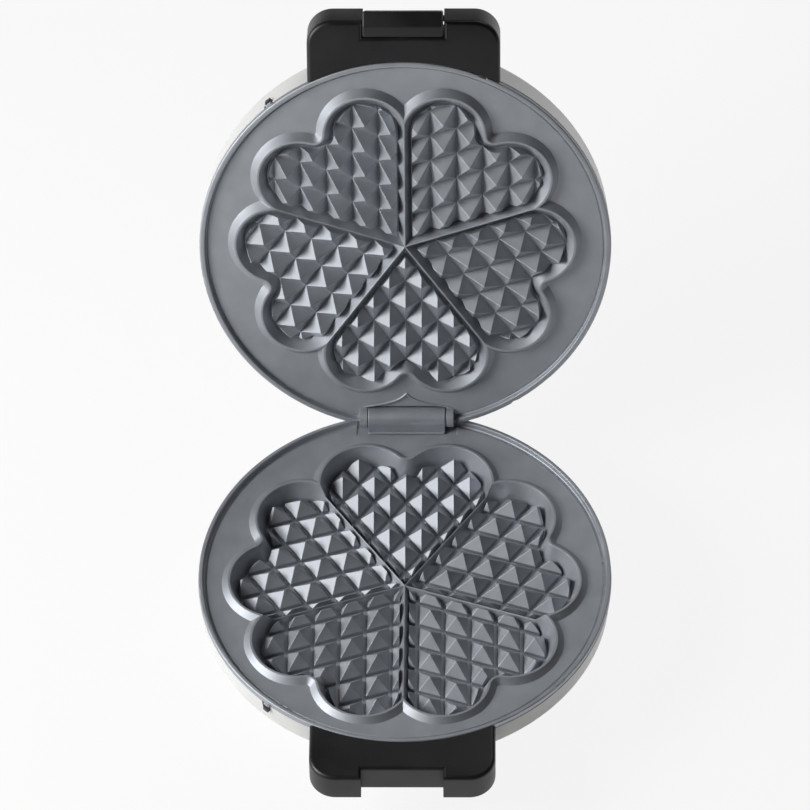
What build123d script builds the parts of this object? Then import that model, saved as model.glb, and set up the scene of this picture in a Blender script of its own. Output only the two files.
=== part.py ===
from build123d import *
import math
import os

# Heart waffle maker, standing open on a table. Millimetres, +Z up, +X to the right, front at -Y.
# The plates are drawn around the Z axis and the lid is drawn closed. Near the end the lid swings
# open about the hinge, and the whole object moves so that the middle of its footprint is the origin.

# Plates
PLATE_RADIUS = 95.0
RIM_WIDTH = 3.6
RIM_SKIRT = 3.0
RIM_GAP = 0.6
NECK_CLEARANCE = 0.7
PAN_RADIUS = 87.0
PAN_DRAFT = 1.5
DISH_RADIUS = 84.0
PATTERN_SHIFT = 2.0
RIDGE_LAND = 0.5
RIDGE_FOOT = 4.0
RIDGE_ROOT = 1.0

# Hearts: five of them, each with two round lobes beside its axis
HEART_COUNT = 5
SPOKE_ANGLE = 180 / HEART_COUNT
LOBE_DISTANCE = 59.3
LOBE_ANGLE = 18.5
PITCH = 12.0
PYRAMID_TIP = 0.25
GROOVE_COUNT = 7
GROOVE_LENGTH = 110.0
CUT_OVERRUN = 1.0

# Lower plate: heights are above the rim plane, so most are negative
LOWER_DEPTH = 15.0
LOWER_ANNULUS = -2.2
LOWER_DISH = -3.4
LOWER_CREST = -0.9
LOWER_SPOKE_CREST = -6.5
LOWER_FLOOR = -11.2
LOWER_LOBE = 21.65
LOWER_CLEFT = 5.0
LOWER_WALL_RUN = 4.0
LOWER_SPOKE_FOOT = 2.2
LOWER_APEX = -3.2
SLOT_WIDTH = 1.9
SLOT_DEPTH = 2.0

# Upper plate: heights are above its own rim plane, towards the lower plate
UPPER_DEPTH = 8.0
UPPER_ANNULUS = -2.3
UPPER_CREST = 1.5
UPPER_RIDGE_FOOT = 4.15
UPPER_FLOOR = -4.0
UPPER_LOBE = 19.15
UPPER_CLEFT = 4.4
UPPER_WALL_RUN = 3.7
UPPER_SPOKE_FOOT = 2.95
UPPER_APEX = 4.1
VALLEY_RISE = 0.3
SPOKE_TOP = 0.2
FIELD_GAP = 0.6

# Shells
WALL = 2.5
SHELL_OVERHANG = 0.2
BASE_HEIGHT = 44.0
BASE_SIDE_RADIUS = 94.3
BASE_SIDE_DEPTH = 14.0
BASE_FLOOR_RADIUS = 68.0
BASE_BULGE = 0.12
LID_HEIGHT = 40.0
LID_SIDE_RADIUS = 94.4
LID_SIDE_DEPTH = 18.0
LID_TOP_RADIUS = 62.0
LID_BULGE = 0.45

# Hinge
HINGE_Y = 89.8
HINGE_RISE = 3.0
BARREL_RADIUS = 5.0
BARREL_LENGTH = 36.0
BARREL_CLEARANCE = 0.6
BARREL_FOOT = 7.0
LUG_RADIUS = 4.6
LUG_WIDTH = 3.6
LUG_CLEARANCE = 0.4
PIN_RADIUS = 2.0
PIN_CLEARANCE = 0.05
PIN_END_GAP = 0.7
RECESS_FRONT = 83.5
RECESS_DEPTH = 3.0
RECESS_SIDE_GAP = 1.5
LID_FLAT_OFFSET = 0.5
LID_OPEN_ANGLE = 112.6
STOP_GAP = 0.2
ARCH_HALF_WIDTH = 20.0
ARCH_HEIGHT = 7.2
ARCH_DEPTH = 0.8
ARCH_FOOT_PULL = (0.6, 0.2)
ARCH_TIP_PULL = (0.2, 0.3)

# Heel that carries the rear feet, the lid's rest and the cord gland
HEEL_WIDTH = 58.0
HEEL_REAR = 106.0
HEEL_FRONT = 68.0
REST_FRONT = 97.5
HEEL_ROOF = 3.1
HEEL_CORNER = 5.0
EDGE_NOTCH_ANGLE = 229.0
EDGE_NOTCH_WIDTH = 4.0
EDGE_NOTCH_HEIGHT = 3.0

# Bottom cover, feet and screws
FOOT_HEIGHT = 4.0
FOOT_RADIUS = 8.0
FOOT_STEM_RADIUS = 2.5
FRONT_FOOT_RADIUS = 50.0
FRONT_FOOT_ANGLES = (225, 315)
REAR_FOOT_X = 20.0
REAR_FOOT_Y = 95.0
COVER_THICKNESS = 2.5
COVER_RADIUS = 65.7
COVER_CLEARANCE = 0.3
COVER_LEDGE = 4.0
COVER_BOSS_RADIUS = 4.0
COVER_BOSS_PLACE = 59.0
COVER_SCREW_COUNT = 4
COVER_BOSS_HEIGHT = 9.0
SCREW_RADIUS = 1.5
SCREW_HEAD_RADIUS = 2.9
SCREW_HEAD_HEIGHT = 1.8
SCREW_CLEARANCE = 0.15
POST_RADIUS = 5.0
LOWER_POST_PLACE = 80.0
LOWER_POST_ANGLES = (54, 126, 198, 342)
LOWER_POST_FOOT = 11.0
SCREW_BITE = 8.0
LID_POST_PLACE = 40.0
LID_POST_ANGLES = (90, 210, 330)
LID_BOSS_HEIGHT = 8.0
LID_SCREW_SINK = 20.0
PLUG_THICKNESS = 1.6
PLUG_SINK = 0.2

# Heaters and reflectors
TUBE_RADIUS = 3.25
HEATER_RADIUS = 62.0
HEATER_GAP_ANGLE = 40.0
HEATER_TAIL = 12.0
REFLECTOR_RADIUS = 72.0
REFLECTOR_DEPTH = 10.0
REFLECTOR_SHEET = 0.8
REFLECTOR_HOLE = 5.5
CENTRE_BOSS_RADIUS = 5.0

# Handles and latch
HANDLE_REACH = 115.5
LOWER_HANDLE_WIDTH = 84.0
UPPER_HANDLE_WIDTH = 88.0
HANDLE_HEIGHT = 16.0
HANDLE_FIT = 0.25
HANDLE_CORNER = 12.0
HANDLE_EDGE = 2.0
HANDLE_SCREW_X = 24.0
HANDLE_SCREW_DEPTH = 10.0
HANDLE_SCREW_END = 104.0
LATCH_WIDTH = 36.0
LATCH_SIDE_GAP = 0.5
LATCH_THICKNESS = 3.6
LATCH_RECESS = 5.5
LATCH_PIVOT_RECESS = 8.0
LATCH_PIVOT_HEIGHT = 12.0
LATCH_KNUCKLE = 3.4
LATCH_SINK = 0.4
LATCH_PIN_RADIUS = 1.5
LATCH_PIN_GRIP = 4.5
LATCH_HOOK_GAP = 0.6
LATCH_HOOK_THICKNESS = 3.5
LATCH_HOOK_REACH = 3.0
LATCH_TAB = 4.0
LATCH_SWING = 18.0

# Controls on top of the lid
CONTROL_Y = -48.0
KNOB_RADIUS = 17.0
KNOB_HEIGHT = 13.0
KNOB_GAP = 0.5
KNOB_GRIP_WIDTH = 8.0
KNOB_SKIRT_HEIGHT = 4.0
SHAFT_RADIUS = 3.0
SHAFT_CLEARANCE = 0.06
THERMOSTAT_SIZE = 24.0
THERMOSTAT_HEIGHT = 12.0
LAMP_X = 27.0
LAMP_RADIUS = 3.5
LAMP_RISE = 1.2
LAMP_HOLDER_RADIUS = 4.6
LAMP_HOLDER_HEIGHT = 9.0
FUSE_RADIUS = 3.0
FUSE_LENGTH = 14.0
FUSE_PLACE = (24.0, 14.0)

# Electrical entry
GLAND_HEIGHT = 18.0
GLAND_BORE = 3.6
GLAND_RADIUS = 6.0
GLAND_FLANGE_RADIUS = 8.5
GLAND_FLANGE = 2.0
TERMINAL_LENGTH = 30.0
TERMINAL_WIDTH = 14.0
TERMINAL_HEIGHT = 11.0
TERMINAL_Y = 84.0

# Places worked out from the sizes above
RIM_Z = BASE_HEIGHT
LID_RIM_Z = RIM_Z + RIM_GAP
LID_TOP_Z = LID_RIM_Z + LID_HEIGHT
HINGE_Z = RIM_Z + HINGE_RISE
HINGE_AXIS = Axis((0, HINGE_Y, HINGE_Z), (1, 0, 0))
SHELL_RADIUS = PLATE_RADIUS + SHELL_OVERHANG
SEAT_Z = RIM_Z - RIM_SKIRT
LID_SEAT_Z = LID_RIM_Z + RIM_SKIRT
PLATE_NECK = PLATE_RADIUS - WALL - NECK_CLEARANCE
NECK_DEPTH = 2 * RIM_SKIRT
LOWER_BACK_Z = RIM_Z - LOWER_DEPTH
UPPER_BACK_Z = LID_RIM_Z + UPPER_DEPTH
SHELL_FLOOR_Z = FOOT_HEIGHT + COVER_THICKNESS
LID_FLAT_Y = HINGE_Y + LID_FLAT_OFFSET
RECESS_HALF = BARREL_LENGTH / 2 + LUG_CLEARANCE + LUG_WIDTH + RECESS_SIDE_GAP
PIN_LENGTH = 2 * (RECESS_HALF - PIN_END_GAP)
LUG_X = BARREL_LENGTH / 2 + LUG_CLEARANCE + LUG_WIDTH / 2
LOBE_X = LOBE_DISTANCE * math.cos(math.radians(LOBE_ANGLE))
LOBE_Y = LOBE_DISTANCE * math.sin(math.radians(LOBE_ANGLE))
SPOKE_COS = math.cos(math.radians(SPOKE_ANGLE))
SPOKE_SIN = math.sin(math.radians(SPOKE_ANGLE))
LOBE_ALONG = LOBE_DISTANCE * math.cos(math.radians(SPOKE_ANGLE - LOBE_ANGLE))
LOBE_ACROSS = LOBE_DISTANCE * math.sin(math.radians(SPOKE_ANGLE - LOBE_ANGLE))
FIRST_HEART = 90.0
LATCH_PIVOT_Z = LID_RIM_Z + LATCH_PIVOT_HEIGHT
LATCH_PIVOT_REACH = HANDLE_REACH - LATCH_KNUCKLE - LATCH_SINK
LATCH_AXIS = Axis((0, -LATCH_PIVOT_REACH, LATCH_PIVOT_Z), (1, 0, 0))
HANDLE_SEAT = math.sqrt((BASE_SIDE_RADIUS - WALL) ** 2 - (HANDLE_SCREW_X + SCREW_HEAD_RADIUS) ** 2)
REAR_FOOT_PLACES = [(-REAR_FOOT_X, REAR_FOOT_Y), (REAR_FOOT_X, REAR_FOOT_Y)]
BASE_TOP = (SHELL_RADIUS, SEAT_Z)
BASE_SIDE = (BASE_SIDE_RADIUS, RIM_Z - BASE_SIDE_DEPTH)
BASE_FLOOR = (BASE_FLOOR_RADIUS, FOOT_HEIGHT)
LID_SEAT = (SHELL_RADIUS, LID_SEAT_Z)
LID_SIDE = (LID_SIDE_RADIUS, LID_RIM_Z + LID_SIDE_DEPTH)
LID_TOP = (LID_TOP_RADIUS, LID_TOP_Z)
LOWER_SHEET_Z = LOWER_BACK_Z - REFLECTOR_DEPTH - REFLECTOR_SHEET
UPPER_SHEET_Z = UPPER_BACK_Z + LID_BOSS_HEIGHT + REFLECTOR_SHEET
# Cuts that have to pass right through a wall, however it curves there
WALL_CUT = 2 * WALL
SLANTED_WALL_CUT = 4 * WALL
FLOOR_CUT = BASE_HEIGHT / 3


def circle_point(centre_x, centre_y, radius, angle):
    """Point on a circle, the angle in radians."""
    return (centre_x + radius * math.cos(angle), centre_y + radius * math.sin(angle))


def polar_places(radius, angles):
    """Locations on a circle around the Z axis, the angles in degrees from +X."""
    return [Location((*circle_point(0, 0, radius, math.radians(angle)), 0)) for angle in angles]


def heart_edge(lobe, cleft, inset, across, turn):
    """Points of one heart's round edge, from one spoke to the other.

    lobe and cleft are the radii of the ridge's crest line, inset is the distance inside that
    line, across is the distance from the spoke's centre line, and turn is the heart's direction.
    """
    radius = lobe - inset
    notch = cleft + inset
    notch_x = LOBE_X + math.sqrt((lobe + cleft) ** 2 - LOBE_Y**2)
    along = LOBE_ALONG + math.sqrt(radius**2 - (LOBE_ACROSS - across) ** 2)
    start_x = along * SPOKE_COS + across * SPOKE_SIN
    start_y = along * SPOKE_SIN - across * SPOKE_COS
    start_angle = math.atan2(start_y - LOBE_Y, start_x - LOBE_X)
    end_angle = math.atan2(-LOBE_Y, notch_x - LOBE_X)
    half = [
        (start_x, start_y),
        circle_point(LOBE_X, LOBE_Y, radius, (start_angle + end_angle) / 2),
        circle_point(LOBE_X, LOBE_Y, radius, end_angle),
    ]
    points = half + [(notch_x - notch, 0)] + [(x, -y) for x, y in reversed(half)]
    return [Vector(x, y).rotate(Axis.Z, turn) for x, y in points]


def draw_heart_edge(lobe, cleft, inset, across, turn):
    """Two lobes and the cleft between them, as three arcs."""
    points = heart_edge(lobe, cleft, inset, across, turn)
    for first in range(0, len(points) - 1, 2):
        ThreePointArc(*points[first : first + 3])
    return points


def draw_flower(lobe, cleft, inset):
    """The edge around all five hearts."""
    for heart in range(HEART_COUNT):
        draw_heart_edge(lobe, cleft, inset, 0, FIRST_HEART + heart * 360 / HEART_COUNT)


def draw_heart(lobe, cleft, inset, across):
    """One whole heart along +X, with its point near the pattern's centre."""
    points = draw_heart_edge(lobe, cleft, inset, across, 0)
    tip = (across / SPOKE_SIN, 0)
    Line(tip, points[0])
    Line(points[-1], tip)


def groove_plane(offset, side, height):
    """Plane across a groove that runs beside the spoke on the given side of a heart's axis."""
    along = Vector(SPOKE_COS, side * SPOKE_SIN, 0)
    across = Vector(SPOKE_SIN, -side * SPOKE_COS, 0)
    start = across * offset
    return Plane(origin=(start.X, start.Y, height), x_dir=-side * across, z_dir=along)


def bowl_edge(inset, top, side, floor, bulge):
    """Outer edge of a bowl as (radius, z) points: rim, straight side and rounded shoulder."""
    top_point = (top[0] - inset, top[1])
    side_point = (side[0] - inset, side[1])
    inward = inset if floor[1] > side[1] else -inset
    floor_point = (floor[0] - inset / 2, floor[1] - inward)
    lift = floor_point[1] - side_point[1]
    reach = side_point[0] - floor_point[0]
    Line(top_point, side_point)
    Bezier(
        side_point,
        (side_point[0], side_point[1] + bulge * lift),
        (floor_point[0] + bulge * reach, floor_point[1]),
        floor_point,
    )
    Polyline(floor_point, (0, floor_point[1]), (0, top_point[1]), top_point)


def plate_profile(rim_z, up, annulus, dish, depth):
    """Half section of a plate: a rounded rim, a sloping flat and a thick pan behind."""
    foot_radius = PLATE_RADIUS - RIM_WIDTH
    crest_radius = PLATE_RADIUS - RIM_WIDTH / 2
    neck = (PLATE_NECK, rim_z - up * NECK_DEPTH)
    rim_side = (PLATE_RADIUS, rim_z - up * RIM_SKIRT / 2)
    foot = (foot_radius, rim_z + up * annulus)
    Polyline(
        foot,
        (DISH_RADIUS, rim_z + up * dish),
        (0, rim_z + up * dish),
        (0, rim_z - up * depth),
        (PAN_RADIUS, rim_z - up * depth),
        (PAN_RADIUS + PAN_DRAFT, neck[1]),
        neck,
        (PLATE_NECK, rim_z - up * RIM_SKIRT),
        (PLATE_RADIUS, rim_z - up * RIM_SKIRT),
        rim_side,
    )
    ThreePointArc(rim_side, (crest_radius, rim_z), foot)


def draw_edge_notch():
    """Small notch through a shell's wall, seen from above."""
    with Locations(Location((0, 0, 0), (0, 0, EDGE_NOTCH_ANGLE))):
        with Locations((SHELL_RADIUS - WALL_CUT, 0)):
            Rectangle(SLANTED_WALL_CUT, EDGE_NOTCH_WIDTH, align=(Align.MIN, Align.CENTER))


def handle_screw_places(height):
    """Places of a handle's two screws on a plane across Y."""
    return [(-HANDLE_SCREW_X, height), (HANDLE_SCREW_X, height)]


def rest_height(y):
    """Height at which the open lid's rear face passes a given Y."""
    angle = math.radians(LID_OPEN_ANGLE)
    swing = (y - HINGE_Y - LID_FLAT_OFFSET * math.cos(angle)) / math.sin(angle)
    return HINGE_Z - LID_FLAT_OFFSET * math.sin(angle) + swing * math.cos(angle)


# Fields of pyramids, each a heart-shaped block with two families of grooves cut along the spokes
with BuildPart() as lower_field:
    with BuildSketch(Plane.XY.offset(RIM_Z + LOWER_FLOOR - RIDGE_ROOT)):
        with BuildLine():
            draw_heart(
                LOWER_LOBE, LOWER_CLEFT, LOWER_WALL_RUN + RIDGE_LAND + FIELD_GAP, LOWER_SPOKE_FOOT
            )
        make_face()
    extrude(amount=LOWER_APEX - PYRAMID_TIP - LOWER_FLOOR + RIDGE_ROOT)
    slot_top = LOWER_FLOOR + SLOT_DEPTH
    flank = (LOWER_APEX - slot_top) / (PITCH / 2 - SLOT_WIDTH / 2)
    mouth = PITCH / 2 + CUT_OVERRUN / flank
    for groove in range(GROOVE_COUNT):
        for side in (-1, 1):
            with BuildSketch(groove_plane((groove + 0.5) * PITCH, side, RIM_Z)):
                with BuildLine():
                    Polyline(
                        (-SLOT_WIDTH / 2, LOWER_FLOOR),
                        (SLOT_WIDTH / 2, LOWER_FLOOR),
                        (SLOT_WIDTH / 2, slot_top),
                        (mouth, LOWER_APEX + CUT_OVERRUN),
                        (-mouth, LOWER_APEX + CUT_OVERRUN),
                        (-SLOT_WIDTH / 2, slot_top),
                        close=True,
                    )
                make_face()
            extrude(amount=GROOVE_LENGTH, both=True, mode=Mode.SUBTRACT)

with BuildPart() as upper_field:
    with BuildSketch(Plane.XY.offset(LID_RIM_Z - UPPER_APEX + PYRAMID_TIP)):
        with BuildLine():
            draw_heart(
                UPPER_LOBE,
                UPPER_CLEFT,
                UPPER_WALL_RUN + RIDGE_LAND + FIELD_GAP,
                UPPER_SPOKE_FOOT + FIELD_GAP,
            )
        make_face()
    extrude(amount=UPPER_APEX - PYRAMID_TIP - UPPER_FLOOR + RIDGE_ROOT)
    valley = UPPER_FLOOR + VALLEY_RISE
    flank = (UPPER_APEX - valley) / (PITCH / 2)
    mouth = PITCH / 2 + CUT_OVERRUN / flank
    for groove in range(GROOVE_COUNT):
        for side in (-1, 1):
            with BuildSketch(groove_plane(groove * PITCH, side, LID_RIM_Z)):
                with BuildLine():
                    Polyline(
                        (0, -valley),
                        (mouth, -UPPER_APEX - CUT_OVERRUN),
                        (-mouth, -UPPER_APEX - CUT_OVERRUN),
                        close=True,
                    )
                make_face()
            extrude(amount=GROOVE_LENGTH, both=True, mode=Mode.SUBTRACT)

# Heart-shaped pockets with sloping walls
lower_slope = LOWER_WALL_RUN / (LOWER_CREST - LOWER_FLOOR)
lower_spoke_inset = RIDGE_LAND + lower_slope * (LOWER_CREST - LOWER_SPOKE_CREST)
with BuildPart() as lower_pocket:
    with BuildSketch(Plane.XY.offset(RIM_Z + LOWER_FLOOR)):
        with BuildLine():
            draw_heart(LOWER_LOBE, LOWER_CLEFT, LOWER_WALL_RUN + RIDGE_LAND, LOWER_SPOKE_FOOT)
        make_face()
    with BuildSketch(Plane.XY.offset(RIM_Z + LOWER_SPOKE_CREST)):
        with BuildLine():
            draw_heart(LOWER_LOBE, LOWER_CLEFT, lower_spoke_inset, SPOKE_TOP)
        make_face()
    loft(ruled=True)

upper_rise = UPPER_CREST - UPPER_FLOOR
upper_slope = UPPER_WALL_RUN / upper_rise
upper_spoke_slope = (UPPER_SPOKE_FOOT - SPOKE_TOP) / upper_rise
with BuildPart() as upper_pocket:
    with BuildSketch(Plane.XY.offset(LID_RIM_Z - UPPER_FLOOR)):
        with BuildLine():
            draw_heart(UPPER_LOBE, UPPER_CLEFT, UPPER_WALL_RUN + RIDGE_LAND, UPPER_SPOKE_FOOT)
        make_face()
    with BuildSketch(Plane.XY.offset(LID_RIM_Z - UPPER_CREST - CUT_OVERRUN)):
        with BuildLine():
            draw_heart(
                UPPER_LOBE,
                UPPER_CLEFT,
                RIDGE_LAND - upper_slope * CUT_OVERRUN,
                SPOKE_TOP - upper_spoke_slope * CUT_OVERRUN,
            )
        make_face()
    loft(ruled=True)

# Raised ridges around the five hearts
with BuildPart() as lower_ridge:
    with BuildSketch(Plane.XY.offset(RIM_Z + LOWER_DISH - RIDGE_ROOT)):
        with BuildLine():
            draw_flower(LOWER_LOBE, LOWER_CLEFT, -RIDGE_LAND - RIDGE_FOOT)
        make_face()
    with BuildSketch(Plane.XY.offset(RIM_Z + LOWER_CREST)):
        with BuildLine():
            draw_flower(LOWER_LOBE, LOWER_CLEFT, -RIDGE_LAND)
        make_face()
    loft(ruled=True)

with BuildPart() as lower_well:
    with BuildSketch(Plane.XY.offset(RIM_Z + LOWER_SPOKE_CREST)):
        with BuildLine():
            draw_flower(LOWER_LOBE, LOWER_CLEFT, lower_spoke_inset)
        make_face()
    with BuildSketch(Plane.XY.offset(RIM_Z + LOWER_CREST + CUT_OVERRUN)):
        with BuildLine():
            draw_flower(LOWER_LOBE, LOWER_CLEFT, RIDGE_LAND - lower_slope * CUT_OVERRUN)
        make_face()
    loft(ruled=True)

with BuildPart() as upper_ridge:
    with BuildSketch(Plane.XY.offset(LID_RIM_Z - UPPER_ANNULUS + RIDGE_ROOT)):
        with BuildLine():
            draw_flower(UPPER_LOBE, UPPER_CLEFT, -UPPER_RIDGE_FOOT)
        make_face()
    with BuildSketch(Plane.XY.offset(LID_RIM_Z - UPPER_CREST)):
        with BuildLine():
            draw_flower(UPPER_LOBE, UPPER_CLEFT, -RIDGE_LAND)
        make_face()
    loft(ruled=True)

HEART_PLACES = [
    Location((0, -PATTERN_SHIFT, 0), (0, 0, FIRST_HEART + heart * 360 / HEART_COUNT))
    for heart in range(HEART_COUNT)
]
PATTERN_PLACE = Location((0, -PATTERN_SHIFT, 0))
SPOKE_PLACES = polar_places(LOWER_POST_PLACE, LOWER_POST_ANGLES)
LID_POST_PLACES = polar_places(LID_POST_PLACE, LID_POST_ANGLES)
FRONT_FOOT_PLACES = polar_places(FRONT_FOOT_RADIUS, FRONT_FOOT_ANGLES)

with BuildPart() as lower_plate:
    with BuildSketch(Plane.XZ):
        with BuildLine():
            plate_profile(RIM_Z, 1, LOWER_ANNULUS, LOWER_DISH, LOWER_DEPTH)
        make_face()
    revolve(axis=Axis.Z)
    with Locations(PATTERN_PLACE):
        add(lower_ridge.part)
        add(lower_well.part, mode=Mode.SUBTRACT)
    with Locations(*HEART_PLACES):
        add(lower_pocket.part, mode=Mode.SUBTRACT)
    with Locations(*HEART_PLACES):
        add(lower_field.part)
    # Recess and barrel of the hinge
    with BuildSketch(Plane.XY.offset(RIM_Z - RECESS_DEPTH)):
        with Locations((0, RECESS_FRONT)):
            Rectangle(2 * RECESS_HALF, PLATE_RADIUS, align=(Align.CENTER, Align.MIN))
    extrude(amount=2 * RECESS_DEPTH, mode=Mode.SUBTRACT)
    with BuildSketch(Plane.YZ.offset(-BARREL_LENGTH / 2)):
        with Locations((HINGE_Y, HINGE_Z)):
            Circle(BARREL_RADIUS)
        with Locations((HINGE_Y - BARREL_RADIUS, HINGE_Z)):
            Rectangle(BARREL_FOOT, HINGE_RISE + RECESS_DEPTH, align=(Align.MIN, Align.MAX))
    extrude(amount=BARREL_LENGTH)
    with BuildSketch(Plane.YZ.offset(-PIN_LENGTH / 2)):
        with Locations((HINGE_Y, HINGE_Z)):
            Circle(PIN_RADIUS)
    extrude(amount=PIN_LENGTH, mode=Mode.SUBTRACT)
    # Centre boss behind the pan, for the reflector's screw
    with BuildSketch(Plane.XY.offset(LOWER_BACK_Z)):
        Circle(CENTRE_BOSS_RADIUS)
    extrude(amount=-REFLECTOR_DEPTH)
    with BuildSketch(Plane.XY.offset(LOWER_BACK_Z - REFLECTOR_DEPTH)):
        Circle(SCREW_RADIUS)
    extrude(amount=SCREW_BITE, mode=Mode.SUBTRACT)
    with BuildSketch(Plane.XY.offset(LOWER_BACK_Z)):
        with Locations(*SPOKE_PLACES):
            Circle(SCREW_RADIUS)
    extrude(amount=SCREW_BITE, mode=Mode.SUBTRACT)

with BuildPart() as upper_plate:
    with BuildSketch(Plane.XZ):
        with BuildLine():
            plate_profile(LID_RIM_Z, -1, UPPER_ANNULUS, UPPER_ANNULUS, UPPER_DEPTH)
        make_face()
    revolve(axis=Axis.Z)
    with Locations(PATTERN_PLACE):
        add(upper_ridge.part)
    with Locations(*HEART_PLACES):
        add(upper_pocket.part, mode=Mode.SUBTRACT)
    with Locations(*HEART_PLACES):
        add(upper_field.part)
    # Flat rear edge, set further in behind the rim, where the shell's rear wall stands
    split(bisect_by=Plane.XZ.offset(-LID_FLAT_Y), keep=Keep.TOP)
    with BuildSketch(Plane.XY.offset(LID_SEAT_Z)):
        with Locations((0, LID_FLAT_Y - WALL - COVER_CLEARANCE)):
            Rectangle(2 * PLATE_RADIUS, PLATE_RADIUS, align=(Align.CENTER, Align.MIN))
    extrude(amount=UPPER_DEPTH, mode=Mode.SUBTRACT)
    # Pointed-arch recess and the hollow for the barrel
    arch_front = HINGE_Y - BARREL_RADIUS - BARREL_CLEARANCE
    with BuildSketch(Plane.XY.offset(LID_RIM_Z - UPPER_ANNULUS + ARCH_DEPTH)):
        with BuildLine():
            Bezier(
                (ARCH_HALF_WIDTH, arch_front),
                (
                    ARCH_HALF_WIDTH * ARCH_FOOT_PULL[0],
                    arch_front - ARCH_HEIGHT * ARCH_FOOT_PULL[1],
                ),
                (ARCH_HALF_WIDTH * ARCH_TIP_PULL[0], arch_front - ARCH_HEIGHT * ARCH_TIP_PULL[1]),
                (0, arch_front - ARCH_HEIGHT),
            )
            mirror(about=Plane.YZ)
            Polyline(
                (ARCH_HALF_WIDTH, arch_front),
                (ARCH_HALF_WIDTH, PLATE_RADIUS),
                (-ARCH_HALF_WIDTH, PLATE_RADIUS),
                (-ARCH_HALF_WIDTH, arch_front),
            )
        make_face()
    extrude(amount=-2 * RIM_SKIRT, mode=Mode.SUBTRACT)
    with BuildSketch(Plane.YZ.offset(-BARREL_LENGTH / 2 - LUG_CLEARANCE)):
        with Locations((HINGE_Y, HINGE_Z)):
            Circle(BARREL_RADIUS + BARREL_CLEARANCE)
    extrude(amount=BARREL_LENGTH + 2 * LUG_CLEARANCE, mode=Mode.SUBTRACT)
    # Two lugs that reach back from the pan to the pin
    for side in (-1, 1):
        with BuildSketch(Plane.YZ.offset(side * LUG_X - LUG_WIDTH / 2)):
            with BuildLine():
                lug_top = UPPER_BACK_Z
                lug_front = HINGE_Y - 2 * LUG_RADIUS
                Polyline(
                    (HINGE_Y + LUG_RADIUS, HINGE_Z),
                    (HINGE_Y + LUG_RADIUS, HINGE_Z + LUG_RADIUS),
                    (LID_FLAT_Y - WALL - COVER_CLEARANCE, HINGE_Z + LUG_RADIUS),
                    (LID_FLAT_Y - WALL - COVER_CLEARANCE, lug_top),
                    (lug_front, lug_top),
                    (lug_front, HINGE_Z),
                    (HINGE_Y - LUG_RADIUS, HINGE_Z),
                )
                ThreePointArc(
                    (HINGE_Y - LUG_RADIUS, HINGE_Z),
                    (HINGE_Y, HINGE_Z - LUG_RADIUS),
                    (HINGE_Y + LUG_RADIUS, HINGE_Z),
                )
            make_face()
        extrude(amount=LUG_WIDTH)
    with BuildSketch(Plane.YZ.offset(-PIN_LENGTH / 2)):
        with Locations((HINGE_Y, HINGE_Z)):
            Circle(PIN_RADIUS + PIN_CLEARANCE)
    extrude(amount=PIN_LENGTH, mode=Mode.SUBTRACT)
    # Bosses behind the pan for the shell's screws
    with BuildSketch(Plane.XY.offset(UPPER_BACK_Z)):
        with Locations(*LID_POST_PLACES):
            Circle(POST_RADIUS)
        Circle(CENTRE_BOSS_RADIUS)
    extrude(amount=LID_BOSS_HEIGHT)
    with BuildSketch(Plane.XY.offset(UPPER_BACK_Z + LID_BOSS_HEIGHT)):
        with Locations(*LID_POST_PLACES):
            Circle(SCREW_RADIUS)
        Circle(SCREW_RADIUS)
    extrude(amount=-SCREW_BITE, mode=Mode.SUBTRACT)

with BuildPart() as hinge_pin:
    with BuildSketch(Plane.YZ.offset(-PIN_LENGTH / 2)):
        with Locations((HINGE_Y, HINGE_Z)):
            Circle(PIN_RADIUS)
    extrude(amount=PIN_LENGTH)
    chamfer(hinge_pin.edges().filter_by(GeomType.CIRCLE), PIN_RADIUS / 5)

# Base shell: a bowl with a hollow heel behind it
with BuildPart() as base_cavity:
    with BuildSketch(Plane.XZ):
        with BuildLine():
            bowl_edge(WALL, (SHELL_RADIUS, SEAT_Z + CUT_OVERRUN), BASE_SIDE, BASE_FLOOR, BASE_BULGE)
        make_face()
    revolve(axis=Axis.Z)
    with BuildSketch(Plane.YZ.offset(-HEEL_WIDTH / 2 + WALL)):
        with BuildLine():
            roof_front = SEAT_Z - WALL - HEEL_ROOF
            Polyline(
                (HEEL_FRONT, SHELL_FLOOR_Z),
                (HEEL_REAR - WALL, SHELL_FLOOR_Z),
                (HEEL_REAR - WALL, rest_height(HEEL_REAR) - STOP_GAP - HEEL_ROOF),
                (HEEL_FRONT, roof_front),
                close=True,
            )
        make_face()
    extrude(amount=HEEL_WIDTH - 2 * WALL)

with BuildPart() as heel:
    with BuildSketch(Plane.YZ.offset(-HEEL_WIDTH / 2)):
        with BuildLine():
            Polyline(
                (HEEL_FRONT, FOOT_HEIGHT),
                (HEEL_REAR, FOOT_HEIGHT),
                (HEEL_REAR, rest_height(HEEL_REAR) - STOP_GAP),
                (REST_FRONT, rest_height(REST_FRONT) - STOP_GAP),
                (SHELL_RADIUS - WALL / 2, SEAT_Z),
                (HEEL_FRONT, SEAT_Z),
                close=True,
            )
        make_face()
    extrude(amount=HEEL_WIDTH)
    fillet(heel.edges().filter_by(Axis.Z).group_by(Axis.Y)[-1], HEEL_CORNER)

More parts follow.
